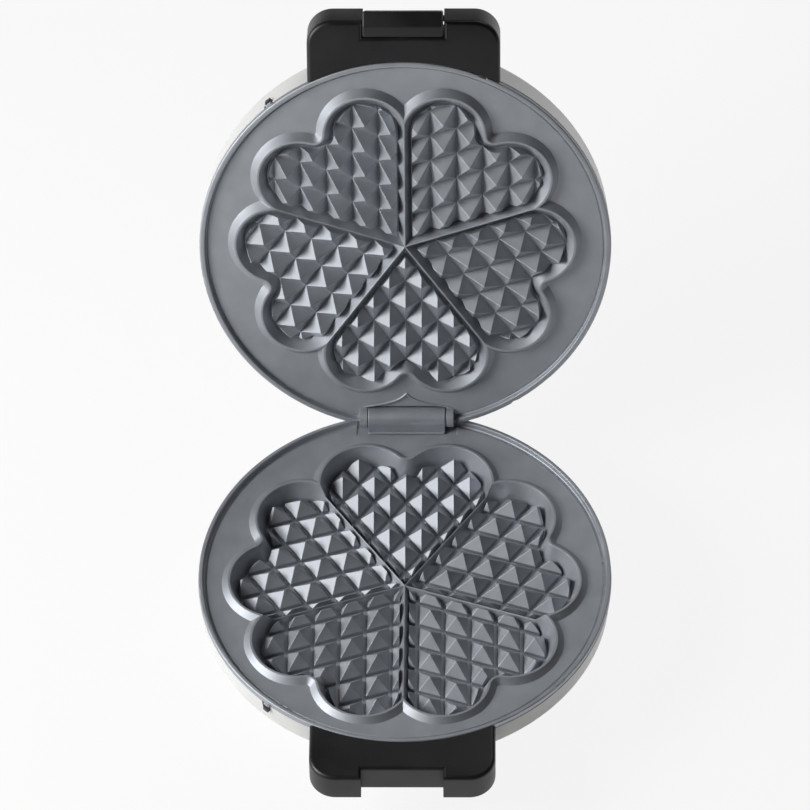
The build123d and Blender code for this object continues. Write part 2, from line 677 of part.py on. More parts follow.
with BuildPart() as base_shell:
    with BuildSketch(Plane.XZ):
        with BuildLine():
            bowl_edge(0, BASE_TOP, BASE_SIDE, BASE_FLOOR, BASE_BULGE)
        make_face()
    revolve(axis=Axis.Z)
    add(heel.part)
    add(base_cavity.part, mode=Mode.SUBTRACT)
    # Opening for the bottom cover and the ledge above it
    with BuildSketch(Plane.XY.offset(FOOT_HEIGHT)):
        Circle(COVER_RADIUS - COVER_LEDGE)
    extrude(amount=FLOOR_CUT, mode=Mode.SUBTRACT)
    with BuildSketch(Plane.XY.offset(FOOT_HEIGHT)):
        Circle(COVER_RADIUS + COVER_CLEARANCE)
    extrude(amount=COVER_THICKNESS, mode=Mode.SUBTRACT)
    # Ledge ring with four bosses for the cover's screws
    with BuildSketch(Plane.XY.offset(SHELL_FLOOR_Z)):
        Circle(COVER_RADIUS + COVER_LEDGE)
        Circle(COVER_RADIUS - COVER_LEDGE, mode=Mode.SUBTRACT)
    extrude(amount=WALL)
    with BuildSketch(Plane.XY.offset(SHELL_FLOOR_Z)):
        with PolarLocations(COVER_BOSS_PLACE, COVER_SCREW_COUNT):
            Circle(COVER_BOSS_RADIUS)
    extrude(amount=COVER_BOSS_HEIGHT)
    with BuildSketch(Plane.XY.offset(SHELL_FLOOR_Z)):
        with PolarLocations(COVER_BOSS_PLACE, COVER_SCREW_COUNT):
            Circle(SCREW_RADIUS)
    extrude(amount=COVER_BOSS_HEIGHT - WALL, mode=Mode.SUBTRACT)
    # Posts under the lower plate, with counterbores from below
    with BuildSketch(Plane.XY.offset(LOWER_POST_FOOT)):
        with Locations(*SPOKE_PLACES):
            Circle(POST_RADIUS)
    extrude(amount=LOWER_BACK_Z - LOWER_POST_FOOT)
    with BuildSketch(Plane.XY.offset(FOOT_HEIGHT)):
        with Locations(*SPOKE_PLACES):
            Circle(SCREW_RADIUS + SCREW_CLEARANCE)
    extrude(amount=BASE_HEIGHT, mode=Mode.SUBTRACT)
    with BuildSketch(Plane.XY.offset(FOOT_HEIGHT)):
        with Locations(*SPOKE_PLACES):
            Circle(SCREW_HEAD_RADIUS + SCREW_CLEARANCE)
    extrude(amount=LOWER_POST_FOOT - FOOT_HEIGHT + SCREW_HEAD_HEIGHT, mode=Mode.SUBTRACT)
    with BuildSketch(Plane.XY.offset(SEAT_Z)):
        draw_edge_notch()
    extrude(amount=-EDGE_NOTCH_HEIGHT, mode=Mode.SUBTRACT)
    # Holes for the rear feet, the cord gland and the handle's screws
    with BuildSketch(Plane.XY.offset(FOOT_HEIGHT)):
        with Locations(*REAR_FOOT_PLACES):
            Circle(FOOT_STEM_RADIUS)
    extrude(amount=COVER_THICKNESS, mode=Mode.SUBTRACT)
    with BuildSketch(Plane.XZ.offset(-HEEL_REAR)):
        with Locations((0, GLAND_HEIGHT)):
            Circle(GLAND_RADIUS)
    extrude(amount=WALL_CUT, mode=Mode.SUBTRACT)
    with BuildSketch(Plane.XZ.offset(HANDLE_SEAT)):
        with Locations(*handle_screw_places(RIM_Z - HANDLE_SCREW_DEPTH)):
            Circle(SCREW_RADIUS + SCREW_CLEARANCE)
    extrude(amount=SLANTED_WALL_CUT, mode=Mode.SUBTRACT)

with BuildPart() as bottom_cover:
    with BuildSketch(Plane.XY.offset(FOOT_HEIGHT)):
        Circle(COVER_RADIUS)
        with PolarLocations(COVER_BOSS_PLACE, COVER_SCREW_COUNT):
            Circle(SCREW_RADIUS + SCREW_CLEARANCE, mode=Mode.SUBTRACT)
        with Locations(*FRONT_FOOT_PLACES):
            Circle(FOOT_STEM_RADIUS, mode=Mode.SUBTRACT)
    extrude(amount=COVER_THICKNESS)

with BuildPart() as lid_cavity:
    with BuildSketch(Plane.XZ):
        with BuildLine():
            bowl_edge(WALL, (SHELL_RADIUS, LID_SEAT_Z - CUT_OVERRUN), LID_SIDE, LID_TOP, LID_BULGE)
        make_face()
    revolve(axis=Axis.Z)
    split(bisect_by=Plane.XZ.offset(WALL - LID_FLAT_Y), keep=Keep.TOP)

with BuildPart() as lid_shell:
    with BuildSketch(Plane.XZ):
        with BuildLine():
            bowl_edge(0, LID_SEAT, LID_SIDE, LID_TOP, LID_BULGE)
        make_face()
    revolve(axis=Axis.Z)
    split(bisect_by=Plane.XZ.offset(-LID_FLAT_Y), keep=Keep.TOP)
    add(lid_cavity.part, mode=Mode.SUBTRACT)
    # Window for the barrel and lugs of the hinge
    with BuildSketch(Plane.XY.offset(LID_SEAT_Z)):
        with Locations((0, RECESS_FRONT)):
            Rectangle(2 * RECESS_HALF, PLATE_RADIUS, align=(Align.CENTER, Align.MIN))
    extrude(amount=HINGE_Z + BARREL_RADIUS + BARREL_CLEARANCE - LID_SEAT_Z, mode=Mode.SUBTRACT)
    # Posts that stand on the upper plate's bosses
    with BuildSketch(Plane.XY.offset(LID_TOP_Z - WALL / 2)):
        with Locations(*LID_POST_PLACES):
            Circle(POST_RADIUS)
    extrude(amount=UPPER_BACK_Z + LID_BOSS_HEIGHT - LID_TOP_Z + WALL / 2)
    with BuildSketch(Plane.XY.offset(LID_TOP_Z)):
        with Locations(*LID_POST_PLACES):
            Circle(SCREW_RADIUS + SCREW_CLEARANCE)
    extrude(amount=-LID_HEIGHT, mode=Mode.SUBTRACT)
    with BuildSketch(Plane.XY.offset(LID_TOP_Z)):
        with Locations(*LID_POST_PLACES):
            Circle(SCREW_HEAD_RADIUS + 2 * SCREW_CLEARANCE)
    extrude(amount=-LID_SCREW_SINK, mode=Mode.SUBTRACT)
    with BuildSketch(Plane.XY.offset(LID_SEAT_Z)):
        draw_edge_notch()
    extrude(amount=EDGE_NOTCH_HEIGHT, mode=Mode.SUBTRACT)
    # Holes for the thermostat's shaft and the two lamps
    with BuildSketch(Plane.XY.offset(LID_TOP_Z)):
        with Locations((0, CONTROL_Y)):
            Circle(SHAFT_RADIUS + HANDLE_FIT)
        with Locations((-LAMP_X, CONTROL_Y), (LAMP_X, CONTROL_Y)):
            Circle(LAMP_RADIUS)
    extrude(amount=-WALL_CUT, mode=Mode.SUBTRACT)
    with BuildSketch(Plane.XZ.offset(HANDLE_SEAT)):
        with Locations(*handle_screw_places(LID_RIM_Z + HANDLE_SCREW_DEPTH)):
            Circle(SCREW_RADIUS + SCREW_CLEARANCE)
    extrude(amount=SLANTED_WALL_CUT, mode=Mode.SUBTRACT)

with BuildPart() as rubber_feet:
    with BuildSketch():
        with Locations(*FRONT_FOOT_PLACES):
            Circle(FOOT_RADIUS)
        with Locations(*REAR_FOOT_PLACES):
            Circle(FOOT_RADIUS)
    extrude(amount=FOOT_HEIGHT)
    chamfer(rubber_feet.faces().filter_by(Plane.XY).sort_by(Axis.Z)[0:4].edges(), FOOT_HEIGHT / 5)
    with BuildSketch(Plane.XY.offset(FOOT_HEIGHT)):
        with Locations(*FRONT_FOOT_PLACES):
            Circle(FOOT_STEM_RADIUS)
        with Locations(*REAR_FOOT_PLACES):
            Circle(FOOT_STEM_RADIUS)
    extrude(amount=COVER_THICKNESS)

# Screws
with BuildPart() as cover_screws:
    with BuildSketch(Plane.XY.offset(FOOT_HEIGHT)):
        with PolarLocations(COVER_BOSS_PLACE, COVER_SCREW_COUNT):
            Circle(SCREW_RADIUS)
    extrude(amount=COVER_THICKNESS + COVER_BOSS_HEIGHT - WALL)
    with BuildSketch(Plane.XY.offset(FOOT_HEIGHT)):
        with PolarLocations(COVER_BOSS_PLACE, COVER_SCREW_COUNT):
            Circle(SCREW_HEAD_RADIUS)
    extrude(amount=-SCREW_HEAD_HEIGHT)

with BuildPart() as lower_plate_screws:
    head_top = LOWER_POST_FOOT + SCREW_HEAD_HEIGHT
    with BuildSketch(Plane.XY.offset(head_top)):
        with Locations(*SPOKE_PLACES):
            Circle(SCREW_RADIUS)
    extrude(amount=LOWER_BACK_Z + SCREW_BITE - head_top)
    with BuildSketch(Plane.XY.offset(head_top)):
        with Locations(*SPOKE_PLACES):
            Circle(SCREW_HEAD_RADIUS)
    extrude(amount=-SCREW_HEAD_HEIGHT)

with BuildPart() as upper_plate_screws:
    head_foot = LID_TOP_Z - LID_SCREW_SINK
    with BuildSketch(Plane.XY.offset(head_foot)):
        with Locations(*LID_POST_PLACES):
            Circle(SCREW_RADIUS)
    extrude(amount=UPPER_BACK_Z + LID_BOSS_HEIGHT - SCREW_BITE - head_foot)
    with BuildSketch(Plane.XY.offset(head_foot)):
        with Locations(*LID_POST_PLACES):
            Circle(SCREW_HEAD_RADIUS)
    extrude(amount=SCREW_HEAD_HEIGHT)

with BuildPart() as screw_plugs:
    with BuildSketch(Plane.XY.offset(LID_TOP_Z - PLUG_SINK)):
        with Locations(*LID_POST_PLACES):
            Circle(SCREW_HEAD_RADIUS + 2 * SCREW_CLEARANCE)
    extrude(amount=-PLUG_THICKNESS)

with BuildPart() as lower_reflector_screw:
    with BuildSketch(Plane.XY.offset(LOWER_SHEET_Z)):
        Circle(SCREW_RADIUS)
    extrude(amount=REFLECTOR_SHEET + SCREW_BITE)
    with BuildSketch(Plane.XY.offset(LOWER_SHEET_Z)):
        Circle(SCREW_HEAD_RADIUS)
    extrude(amount=-SCREW_HEAD_HEIGHT)

with BuildPart() as upper_reflector_screw:
    with BuildSketch(Plane.XY.offset(UPPER_SHEET_Z)):
        Circle(SCREW_RADIUS)
    extrude(amount=-REFLECTOR_SHEET - SCREW_BITE)
    with BuildSketch(Plane.XY.offset(UPPER_SHEET_Z)):
        Circle(SCREW_HEAD_RADIUS)
    extrude(amount=SCREW_HEAD_HEIGHT)

with BuildPart() as lower_handle_screws:
    with BuildSketch(Plane.XZ.offset(HANDLE_SEAT)):
        with Locations(*handle_screw_places(RIM_Z - HANDLE_SCREW_DEPTH)):
            Circle(SCREW_RADIUS)
    extrude(amount=HANDLE_SCREW_END - HANDLE_SEAT)
    with BuildSketch(Plane.XZ.offset(HANDLE_SEAT)):
        with Locations(*handle_screw_places(RIM_Z - HANDLE_SCREW_DEPTH)):
            Circle(SCREW_HEAD_RADIUS)
    extrude(amount=-SCREW_HEAD_HEIGHT)

with BuildPart() as upper_handle_screws:
    with BuildSketch(Plane.XZ.offset(HANDLE_SEAT)):
        with Locations(*handle_screw_places(LID_RIM_Z + HANDLE_SCREW_DEPTH)):
            Circle(SCREW_RADIUS)
    extrude(amount=HANDLE_SCREW_END - HANDLE_SEAT)
    with BuildSketch(Plane.XZ.offset(HANDLE_SEAT)):
        with Locations(*handle_screw_places(LID_RIM_Z + HANDLE_SCREW_DEPTH)):
            Circle(SCREW_HEAD_RADIUS)
    extrude(amount=-SCREW_HEAD_HEIGHT)

# Heaters: an open ring of sheathed tube with its two ends bent away from the plate
with BuildPart() as lower_element:
    with BuildLine(Plane.XY.offset(LOWER_BACK_Z - TUBE_RADIUS)) as lower_ring:
        CenterArc((0, 0), HEATER_RADIUS, FIRST_HEART + HEATER_GAP_ANGLE / 2, 360 - HEATER_GAP_ANGLE)
    with BuildSketch(Plane(origin=lower_ring.line @ 0, z_dir=lower_ring.line % 0)):
        Circle(TUBE_RADIUS)
    sweep(path=lower_ring.line)
    with Locations(lower_ring.line @ 0, lower_ring.line @ 1):
        Sphere(TUBE_RADIUS)
        Cylinder(TUBE_RADIUS, HEATER_TAIL, align=(Align.CENTER, Align.CENTER, Align.MAX))

with BuildPart() as upper_element:
    with BuildLine(Plane.XY.offset(UPPER_BACK_Z + TUBE_RADIUS)) as upper_ring:
        CenterArc((0, 0), HEATER_RADIUS, FIRST_HEART + HEATER_GAP_ANGLE / 2, 360 - HEATER_GAP_ANGLE)
    with BuildSketch(Plane(origin=upper_ring.line @ 0, z_dir=upper_ring.line % 0)):
        Circle(TUBE_RADIUS)
    sweep(path=upper_ring.line)
    with Locations(upper_ring.line @ 0, upper_ring.line @ 1):
        Sphere(TUBE_RADIUS)
        Cylinder(TUBE_RADIUS, HEATER_TAIL, align=(Align.CENTER, Align.CENTER, Align.MIN))

HEATER_TAIL_PLACES = polar_places(
    HEATER_RADIUS, (FIRST_HEART - HEATER_GAP_ANGLE / 2, FIRST_HEART + HEATER_GAP_ANGLE / 2)
)

with BuildPart() as lower_reflector:
    with BuildSketch(Plane.XY.offset(LOWER_SHEET_Z)):
        Circle(REFLECTOR_RADIUS)
    extrude(amount=REFLECTOR_SHEET + REFLECTOR_DEPTH)
    with BuildSketch(Plane.XY.offset(LOWER_SHEET_Z + REFLECTOR_SHEET)):
        Circle(REFLECTOR_RADIUS - REFLECTOR_SHEET)
    extrude(amount=REFLECTOR_DEPTH, mode=Mode.SUBTRACT)
    with BuildSketch(Plane.XY.offset(LOWER_SHEET_Z)):
        Circle(SCREW_RADIUS + SCREW_CLEARANCE)
        with Locations(*HEATER_TAIL_PLACES):
            Circle(REFLECTOR_HOLE)
    extrude(amount=REFLECTOR_SHEET, mode=Mode.SUBTRACT)

with BuildPart() as upper_reflector:
    with BuildSketch(Plane.XY.offset(UPPER_SHEET_Z)):
        Circle(REFLECTOR_RADIUS)
    extrude(amount=UPPER_BACK_Z - UPPER_SHEET_Z)
    with BuildSketch(Plane.XY.offset(UPPER_SHEET_Z - REFLECTOR_SHEET)):
        Circle(REFLECTOR_RADIUS - REFLECTOR_SHEET)
    extrude(amount=-LID_BOSS_HEIGHT, mode=Mode.SUBTRACT)
    with BuildSketch(Plane.XY.offset(UPPER_SHEET_Z)):
        Circle(SCREW_RADIUS + SCREW_CLEARANCE)
        with Locations(*HEATER_TAIL_PLACES, *LID_POST_PLACES):
            Circle(REFLECTOR_HOLE)
    extrude(amount=-REFLECTOR_SHEET, mode=Mode.SUBTRACT)


def round_handle(handle):
    """Rounds a handle's upper and lower edges, except along the shell."""
    shell_side = handle.faces().filter_by(GeomType.CYLINDER).sort_by(SortBy.RADIUS)[-1]
    fillet(handle.faces().filter_by(Plane.XY).edges() - shell_side.edges(), HANDLE_EDGE)


def draw_handle(sketch, width, recess):
    """Outline of a handle from above: against the shell behind, round corners and a latch recess."""
    with Locations((0, -HANDLE_REACH)):
        Rectangle(width, HANDLE_REACH, align=(Align.CENTER, Align.MIN))
    fillet(sketch.vertices().group_by(Axis.Y)[0], HANDLE_CORNER)
    Circle(SHELL_RADIUS + HANDLE_FIT, mode=Mode.SUBTRACT)
    with Locations((0, -HANDLE_REACH)):
        Rectangle(
            LATCH_WIDTH + 2 * LATCH_SIDE_GAP,
            recess,
            align=(Align.CENTER, Align.MIN),
            mode=Mode.SUBTRACT,
        )


with BuildPart() as lower_handle:
    with BuildSketch(Plane.XY.offset(RIM_Z - HANDLE_HEIGHT)) as lower_outline:
        draw_handle(lower_outline, LOWER_HANDLE_WIDTH, LATCH_RECESS)
    extrude(amount=HANDLE_HEIGHT)
    round_handle(lower_handle)
    with BuildSketch(Plane.XZ.offset(HANDLE_SEAT)):
        with Locations(*handle_screw_places(RIM_Z - HANDLE_SCREW_DEPTH)):
            Circle(SCREW_RADIUS)
    extrude(amount=HANDLE_SCREW_END - HANDLE_SEAT, mode=Mode.SUBTRACT)

with BuildPart() as upper_handle:
    with BuildSketch(Plane.XY.offset(LID_RIM_Z)) as upper_outline:
        draw_handle(upper_outline, UPPER_HANDLE_WIDTH, LATCH_PIVOT_RECESS)
    extrude(amount=HANDLE_HEIGHT)
    round_handle(upper_handle)
    with BuildSketch(Plane.XZ.offset(HANDLE_SEAT)):
        with Locations(*handle_screw_places(LID_RIM_Z + HANDLE_SCREW_DEPTH)):
            Circle(SCREW_RADIUS)
    extrude(amount=HANDLE_SCREW_END - HANDLE_SEAT, mode=Mode.SUBTRACT)
    with BuildSketch(Plane.YZ.offset(-LATCH_WIDTH / 2 - LATCH_SIDE_GAP - LATCH_PIN_GRIP)):
        with Locations((-LATCH_PIVOT_REACH, LATCH_PIVOT_Z)):
            Circle(LATCH_PIN_RADIUS)
    extrude(amount=LATCH_WIDTH + 2 * LATCH_SIDE_GAP + 2 * LATCH_PIN_GRIP, mode=Mode.SUBTRACT)

# Latch clip, drawn engaged: a strap from the knuckle down to a hook under the lower handle
with BuildPart() as latch_clip:
    hook_top = RIM_Z - HANDLE_HEIGHT - LATCH_HOOK_GAP
    strap_back = -LATCH_PIVOT_REACH
    strap_front = strap_back - LATCH_THICKNESS
    hook_end = -HANDLE_REACH + LATCH_RECESS + LATCH_HOOK_REACH
    with BuildSketch(Plane.YZ.offset(-LATCH_WIDTH / 2)):
        with BuildLine():
            Polyline(
                (strap_back, LATCH_PIVOT_Z),
                (strap_back, hook_top),
                (hook_end, hook_top),
                (hook_end, hook_top - LATCH_HOOK_THICKNESS / 2),
                (strap_back, hook_top - LATCH_HOOK_THICKNESS),
                (strap_front - LATCH_TAB, hook_top - LATCH_HOOK_THICKNESS),
                (strap_front, hook_top + LATCH_TAB),
                (strap_front, LATCH_PIVOT_Z),
                close=True,
            )
        make_face()
        with Locations((-LATCH_PIVOT_REACH, LATCH_PIVOT_Z)):
            Circle(LATCH_KNUCKLE)
            Circle(LATCH_PIN_RADIUS + PIN_CLEARANCE, mode=Mode.SUBTRACT)
    extrude(amount=LATCH_WIDTH)

with BuildPart() as latch_pin:
    with BuildSketch(Plane.YZ.offset(-LATCH_WIDTH / 2 - LATCH_SIDE_GAP - LATCH_PIN_GRIP)):
        with Locations((-LATCH_PIVOT_REACH, LATCH_PIVOT_Z)):
            Circle(LATCH_PIN_RADIUS)
    extrude(amount=LATCH_WIDTH + 2 * LATCH_SIDE_GAP + 2 * LATCH_PIN_GRIP)

# Thermostat with its shaft and knob, thermal fuse and lamps
CONTROL_PLACE = Location((0, CONTROL_Y, 0))
LAMP_PLACES = [Location((-LAMP_X, CONTROL_Y, 0)), Location((LAMP_X, CONTROL_Y, 0))]
ROOF_Z = LID_TOP_Z - WALL
KNOB_FOOT_Z = LID_TOP_Z + KNOB_GAP

with BuildPart() as thermostat_body:
    with BuildSketch(Plane.XY.offset(ROOF_Z)):
        with Locations(CONTROL_PLACE):
            RectangleRounded(THERMOSTAT_SIZE, THERMOSTAT_SIZE, THERMOSTAT_SIZE / 8)
            Circle(SHAFT_RADIUS + SHAFT_CLEARANCE, mode=Mode.SUBTRACT)
    extrude(amount=-THERMOSTAT_HEIGHT)

with BuildPart() as thermostat_shaft:
    with BuildSketch(Plane.XY.offset(ROOF_Z - THERMOSTAT_HEIGHT / 2)):
        with Locations(CONTROL_PLACE):
            Circle(SHAFT_RADIUS)
    extrude(amount=KNOB_FOOT_Z + KNOB_HEIGHT / 2 - ROOF_Z + THERMOSTAT_HEIGHT / 2)

with BuildPart() as thermostat_knob:
    with BuildSketch(Plane.XY.offset(KNOB_FOOT_Z)):
        with Locations(CONTROL_PLACE):
            Circle(KNOB_RADIUS)
    extrude(amount=KNOB_SKIRT_HEIGHT)
    with BuildSketch(Plane.XY.offset(KNOB_FOOT_Z + KNOB_SKIRT_HEIGHT)):
        with Locations(CONTROL_PLACE):
            RectangleRounded(2 * KNOB_RADIUS - KNOB_SKIRT_HEIGHT, KNOB_GRIP_WIDTH, KNOB_GRIP_WIDTH / 3)
    extrude(amount=KNOB_HEIGHT - KNOB_SKIRT_HEIGHT)
    with BuildSketch(Plane.XY.offset(KNOB_FOOT_Z)):
        with Locations(CONTROL_PLACE):
            Circle(SHAFT_RADIUS)
    extrude(amount=KNOB_HEIGHT / 2, mode=Mode.SUBTRACT)

with BuildPart() as thermal_fuse:
    with BuildSketch(Plane.YZ.offset(FUSE_PLACE[0] - FUSE_LENGTH / 2)):
        with Locations((FUSE_PLACE[1], UPPER_SHEET_Z + FUSE_RADIUS)):
            Circle(FUSE_RADIUS)
            Rectangle(2 * FUSE_RADIUS, FUSE_RADIUS, align=(Align.CENTER, Align.MAX))
    extrude(amount=FUSE_LENGTH)

with BuildPart() as lamp_holders:
    with BuildSketch(Plane.XY.offset(ROOF_Z)):
        with Locations(*LAMP_PLACES):
            Circle(LAMP_HOLDER_RADIUS)
    extrude(amount=-LAMP_HOLDER_HEIGHT)

lenses = {}
for lamp_name, lamp_place in zip(("red_lamp_lens", "green_lamp_lens"), LAMP_PLACES):
    with BuildPart() as lens:
        with BuildSketch(Plane.XY.offset(ROOF_Z)):
            with Locations(lamp_place):
                Circle(LAMP_RADIUS)
        extrude(amount=WALL + LAMP_RISE)
        fillet(lens.edges().group_by(Axis.Z)[-1], LAMP_RISE / 2)
    lenses[lamp_name] = lens

# Electrical entry in the heel
with BuildPart() as cord_gland:
    with BuildSketch(Plane.XZ.offset(-HEEL_REAR - GLAND_FLANGE)):
        with Locations((0, GLAND_HEIGHT)):
            Circle(GLAND_FLANGE_RADIUS)
    extrude(amount=GLAND_FLANGE)
    with BuildSketch(Plane.XZ.offset(-HEEL_REAR)):
        with Locations((0, GLAND_HEIGHT)):
            Circle(GLAND_RADIUS)
    extrude(amount=WALL_CUT)
    with BuildSketch(Plane.XZ.offset(-HEEL_REAR - GLAND_FLANGE)):
        with Locations((0, GLAND_HEIGHT)):
            Circle(GLAND_BORE)
    extrude(amount=GLAND_FLANGE + WALL_CUT, mode=Mode.SUBTRACT)

with BuildPart() as terminal_block:
    with BuildSketch(Plane.XY.offset(SHELL_FLOOR_Z)):
        with Locations((0, TERMINAL_Y)):
            Rectangle(TERMINAL_LENGTH, TERMINAL_WIDTH)
    extrude(amount=TERMINAL_HEIGHT)
    with BuildSketch(Plane.XZ.offset(-TERMINAL_Y - TERMINAL_WIDTH / 2)):
        with GridLocations(TERMINAL_LENGTH / 3, 0, 3, 1):
            with Locations((0, SHELL_FLOOR_Z + TERMINAL_HEIGHT / 2)):
                Circle(SCREW_RADIUS)
    extrude(amount=TERMINAL_WIDTH, mode=Mode.SUBTRACT)

base_pieces = {
    "base_shell": base_shell,
    "bottom_cover": bottom_cover,
    "rubber_feet": rubber_feet,
    "cover_screws": cover_screws,
    "lower_plate": lower_plate,
    "lower_plate_screws": lower_plate_screws,
    "lower_element": lower_element,
    "lower_reflector": lower_reflector,
    "lower_reflector_screw": lower_reflector_screw,
    "lower_handle": lower_handle,
    "lower_handle_screws": lower_handle_screws,
    "cord_gland": cord_gland,
    "terminal_block": terminal_block,
    "hinge_pin": hinge_pin,
}
lid_pieces = {
    "lid_shell": lid_shell,
    "upper_plate": upper_plate,
    "upper_plate_screws": upper_plate_screws,
    "screw_plugs": screw_plugs,
    "upper_element": upper_element,
    "upper_reflector": upper_reflector,
    "upper_reflector_screw": upper_reflector_screw,
    "upper_handle": upper_handle,
    "upper_handle_screws": upper_handle_screws,
    "latch_pin": latch_pin,
    "latch_clip": latch_clip,
    "thermostat_body": thermostat_body,
    "thermostat_shaft": thermostat_shaft,
    "thermostat_knob": thermostat_knob,
    "thermal_fuse": thermal_fuse,
    "lamp_holders": lamp_holders,
    **lenses,
}

# The latch hangs clear of the lower handle, the lid stands open on its rest
latch_clip.part = latch_clip.part.rotate(LATCH_AXIS, -LATCH_SWING)
placed = {name: piece.part for name, piece in base_pieces.items()}
for name, piece in lid_pieces.items():
    placed[name] = piece.part.rotate(HINGE_AXIS, -LID_OPEN_ANGLE)

# The origin is the middle of the footprint, on the table
boxes = [shape.bounding_box() for shape in placed.values()]
left = min(box.min.X for box in boxes)
right = max(box.max.X for box in boxes)
front = min(box.min.Y for box in boxes)
rear = max(box.max.Y for box in boxes)
middle = Vector(-(left + right) / 2, -(front + rear) / 2, 0)

os.makedirs("parts", exist_ok=True)
for name, shape in placed.items():
    piece = shape.moved(Location(middle))
    piece.label = name
    export_step(piece, f"parts/{name}.step")

print("moved by", middle)
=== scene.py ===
"""Heart waffle maker, standing open: rounded pieces, finishes, studio and camera.

Lengths are written in millimetres and turned to metres by MM, apart from the studio's, which are in
metres. Pieces are worked out around the plates' own upright axis with the lid closed, and placed()
then swings those of the lid open about the same hinge as the model's.
"""

import logging
import math
from dataclasses import dataclass, field, replace
from enum import Enum

import bmesh
import bpy
import numpy as np
from mathutils import Matrix, Vector


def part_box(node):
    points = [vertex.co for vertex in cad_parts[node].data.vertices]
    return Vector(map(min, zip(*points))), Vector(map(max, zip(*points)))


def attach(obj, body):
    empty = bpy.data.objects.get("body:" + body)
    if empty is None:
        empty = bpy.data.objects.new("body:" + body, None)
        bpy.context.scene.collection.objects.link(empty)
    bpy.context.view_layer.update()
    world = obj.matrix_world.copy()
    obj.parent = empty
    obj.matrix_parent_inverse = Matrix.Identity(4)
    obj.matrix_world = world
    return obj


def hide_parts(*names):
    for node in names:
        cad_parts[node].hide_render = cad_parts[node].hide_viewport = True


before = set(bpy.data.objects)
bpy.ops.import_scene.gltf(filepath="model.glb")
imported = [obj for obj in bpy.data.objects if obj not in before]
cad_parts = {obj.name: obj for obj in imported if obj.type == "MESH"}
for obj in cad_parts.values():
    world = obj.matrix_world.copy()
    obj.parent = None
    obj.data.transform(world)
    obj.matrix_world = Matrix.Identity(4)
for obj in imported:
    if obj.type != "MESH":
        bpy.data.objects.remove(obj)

MM = 0.001
TURN = 2 * math.pi
# Points closer than this, in metres, are merged
WELD = 2e-6
# Angle in degrees above which an edge of a piece made here stays sharp
CREASE = 40.0
Pairs = tuple[tuple[float, float], ...]
LOG = logging.getLogger("waffle_maker")


class Carrier(Enum):
    """The model's moving bodies that a piece can ride on."""

    BASE = "base"
    LID = "lid"
    LATCH = "latch"
    KNOB = "knob"


class Along(Enum):
    """Axis along which a slab gets its thickness."""

    X = "x"
    Z = "z"


@dataclass(frozen=True)
class Layout:
    """Places of the model's main features, in millimetres, with the lid closed."""

    plate_radius: float = 95.0
    rim_z: float = 44.0
    lid_rim_z: float = 44.6
    lid_height: float = 40.0
    hinge_y: float = 89.8
    hinge_z: float = 47.0
    open_angle: float = 112.6
    latch_pivot: tuple[float, float] = (-111.7, 56.6)
    latch_swing: float = 18.0
    control_y: float = -48.0

    @property
    def lid_top_z(self) -> float:
        """Height of the lid's roof."""
        return self.lid_rim_z + self.lid_height

    @property
    def centre_y(self) -> float:
        """Where the plates' axis stands in the model's frame."""
        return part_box("lower_plate")[0].y / MM + self.plate_radius


LAYOUT = Layout()


def turned(points: np.ndarray, pivot: tuple[float, float], degrees: float) -> np.ndarray:
    """Turns points about an axis along X.

    Args:
        points: Points in millimetres, with their coordinates last.
        pivot: The axis's place as (y, z).
        degrees: Angle about +X.

    Returns:
        The turned points: each offset from the pivot is multiplied by a rotation matrix.
    """
    angle = math.radians(degrees)
    y, z = points[..., 1] - pivot[0], points[..., 2] - pivot[1]
    across = pivot[0] + y * math.cos(angle) - z * math.sin(angle)
    up = pivot[1] + y * math.sin(angle) + z * math.cos(angle)
    return np.stack([points[..., 0], across, up], axis=-1)


def placed(points: np.ndarray, carrier: Carrier) -> np.ndarray:
    """Moves points from the closed drawing to the open model, in metres.

    Args:
        points: Points in millimetres around the plates' axis, lid closed and latch engaged.
        carrier: The body that they belong to.

    Returns:
        The points in the model's frame. The latch swings about its pin first, and all that the lid
        carries swings about the hinge.
    """
    if carrier is Carrier.LATCH:
        points = turned(points, LAYOUT.latch_pivot, -LAYOUT.latch_swing)
    if carrier is not Carrier.BASE:
        points = turned(points, (LAYOUT.hinge_y, LAYOUT.hinge_z), -LAYOUT.open_angle)
    return (points + np.array([0.0, LAYOUT.centre_y, 0.0])) * MM


def drawn(points: np.ndarray, carrier: Carrier) -> np.ndarray:
    """Takes points of the base or the lid back to the closed drawing: placed() in reverse.

    Args:
        points: Points in the model's frame, in metres.
        carrier: The base or the lid.

    Returns:
        The points in millimetres around the plates' axis, lid closed.
    """
    points = points / MM - np.array([0.0, LAYOUT.centre_y, 0.0])
    if carrier is Carrier.LID:
        points = turned(points, (LAYOUT.hinge_y, LAYOUT.hinge_z), LAYOUT.open_angle)
    return points


# Surfaces


def grid_faces(rows: int, columns: int) -> list[list[int]]:
    """Four-sided faces between the points of a grid whose rows are closed rings.

    Args:
        rows: Number of rows of points.
        columns: Number of points in a row.

    Returns:
        Indices of each face's corners, counted row by row.
    """
    start, column = np.meshgrid(np.arange(rows - 1) * columns, np.arange(columns), indexing="ij")
    after, above = (column + 1) % columns, start + columns
    corners = [start + column, start + after, above + after, above + column]
    return np.stack(corners, axis=-1).reshape(-1, 4).tolist()


@dataclass
class Surface:
    """Points and faces of one piece, before it is placed."""

    points: np.ndarray
    faces: list[list[int]]

    def moved(self, x: float, y: float) -> "Surface":
        """A copy of this surface moved by x and y."""
        return Surface(self.points + np.array([x, y, 0.0]), self.faces)

    def spun(self, angle: float) -> "Surface":
        """A copy of this surface turned about the Z axis by an angle in radians."""
        cos, sin = math.cos(angle), math.sin(angle)
        turn = np.array([(cos, sin, 0), (-sin, cos, 0), (0, 0, 1)])
        return Surface(self.points @ turn, self.faces)


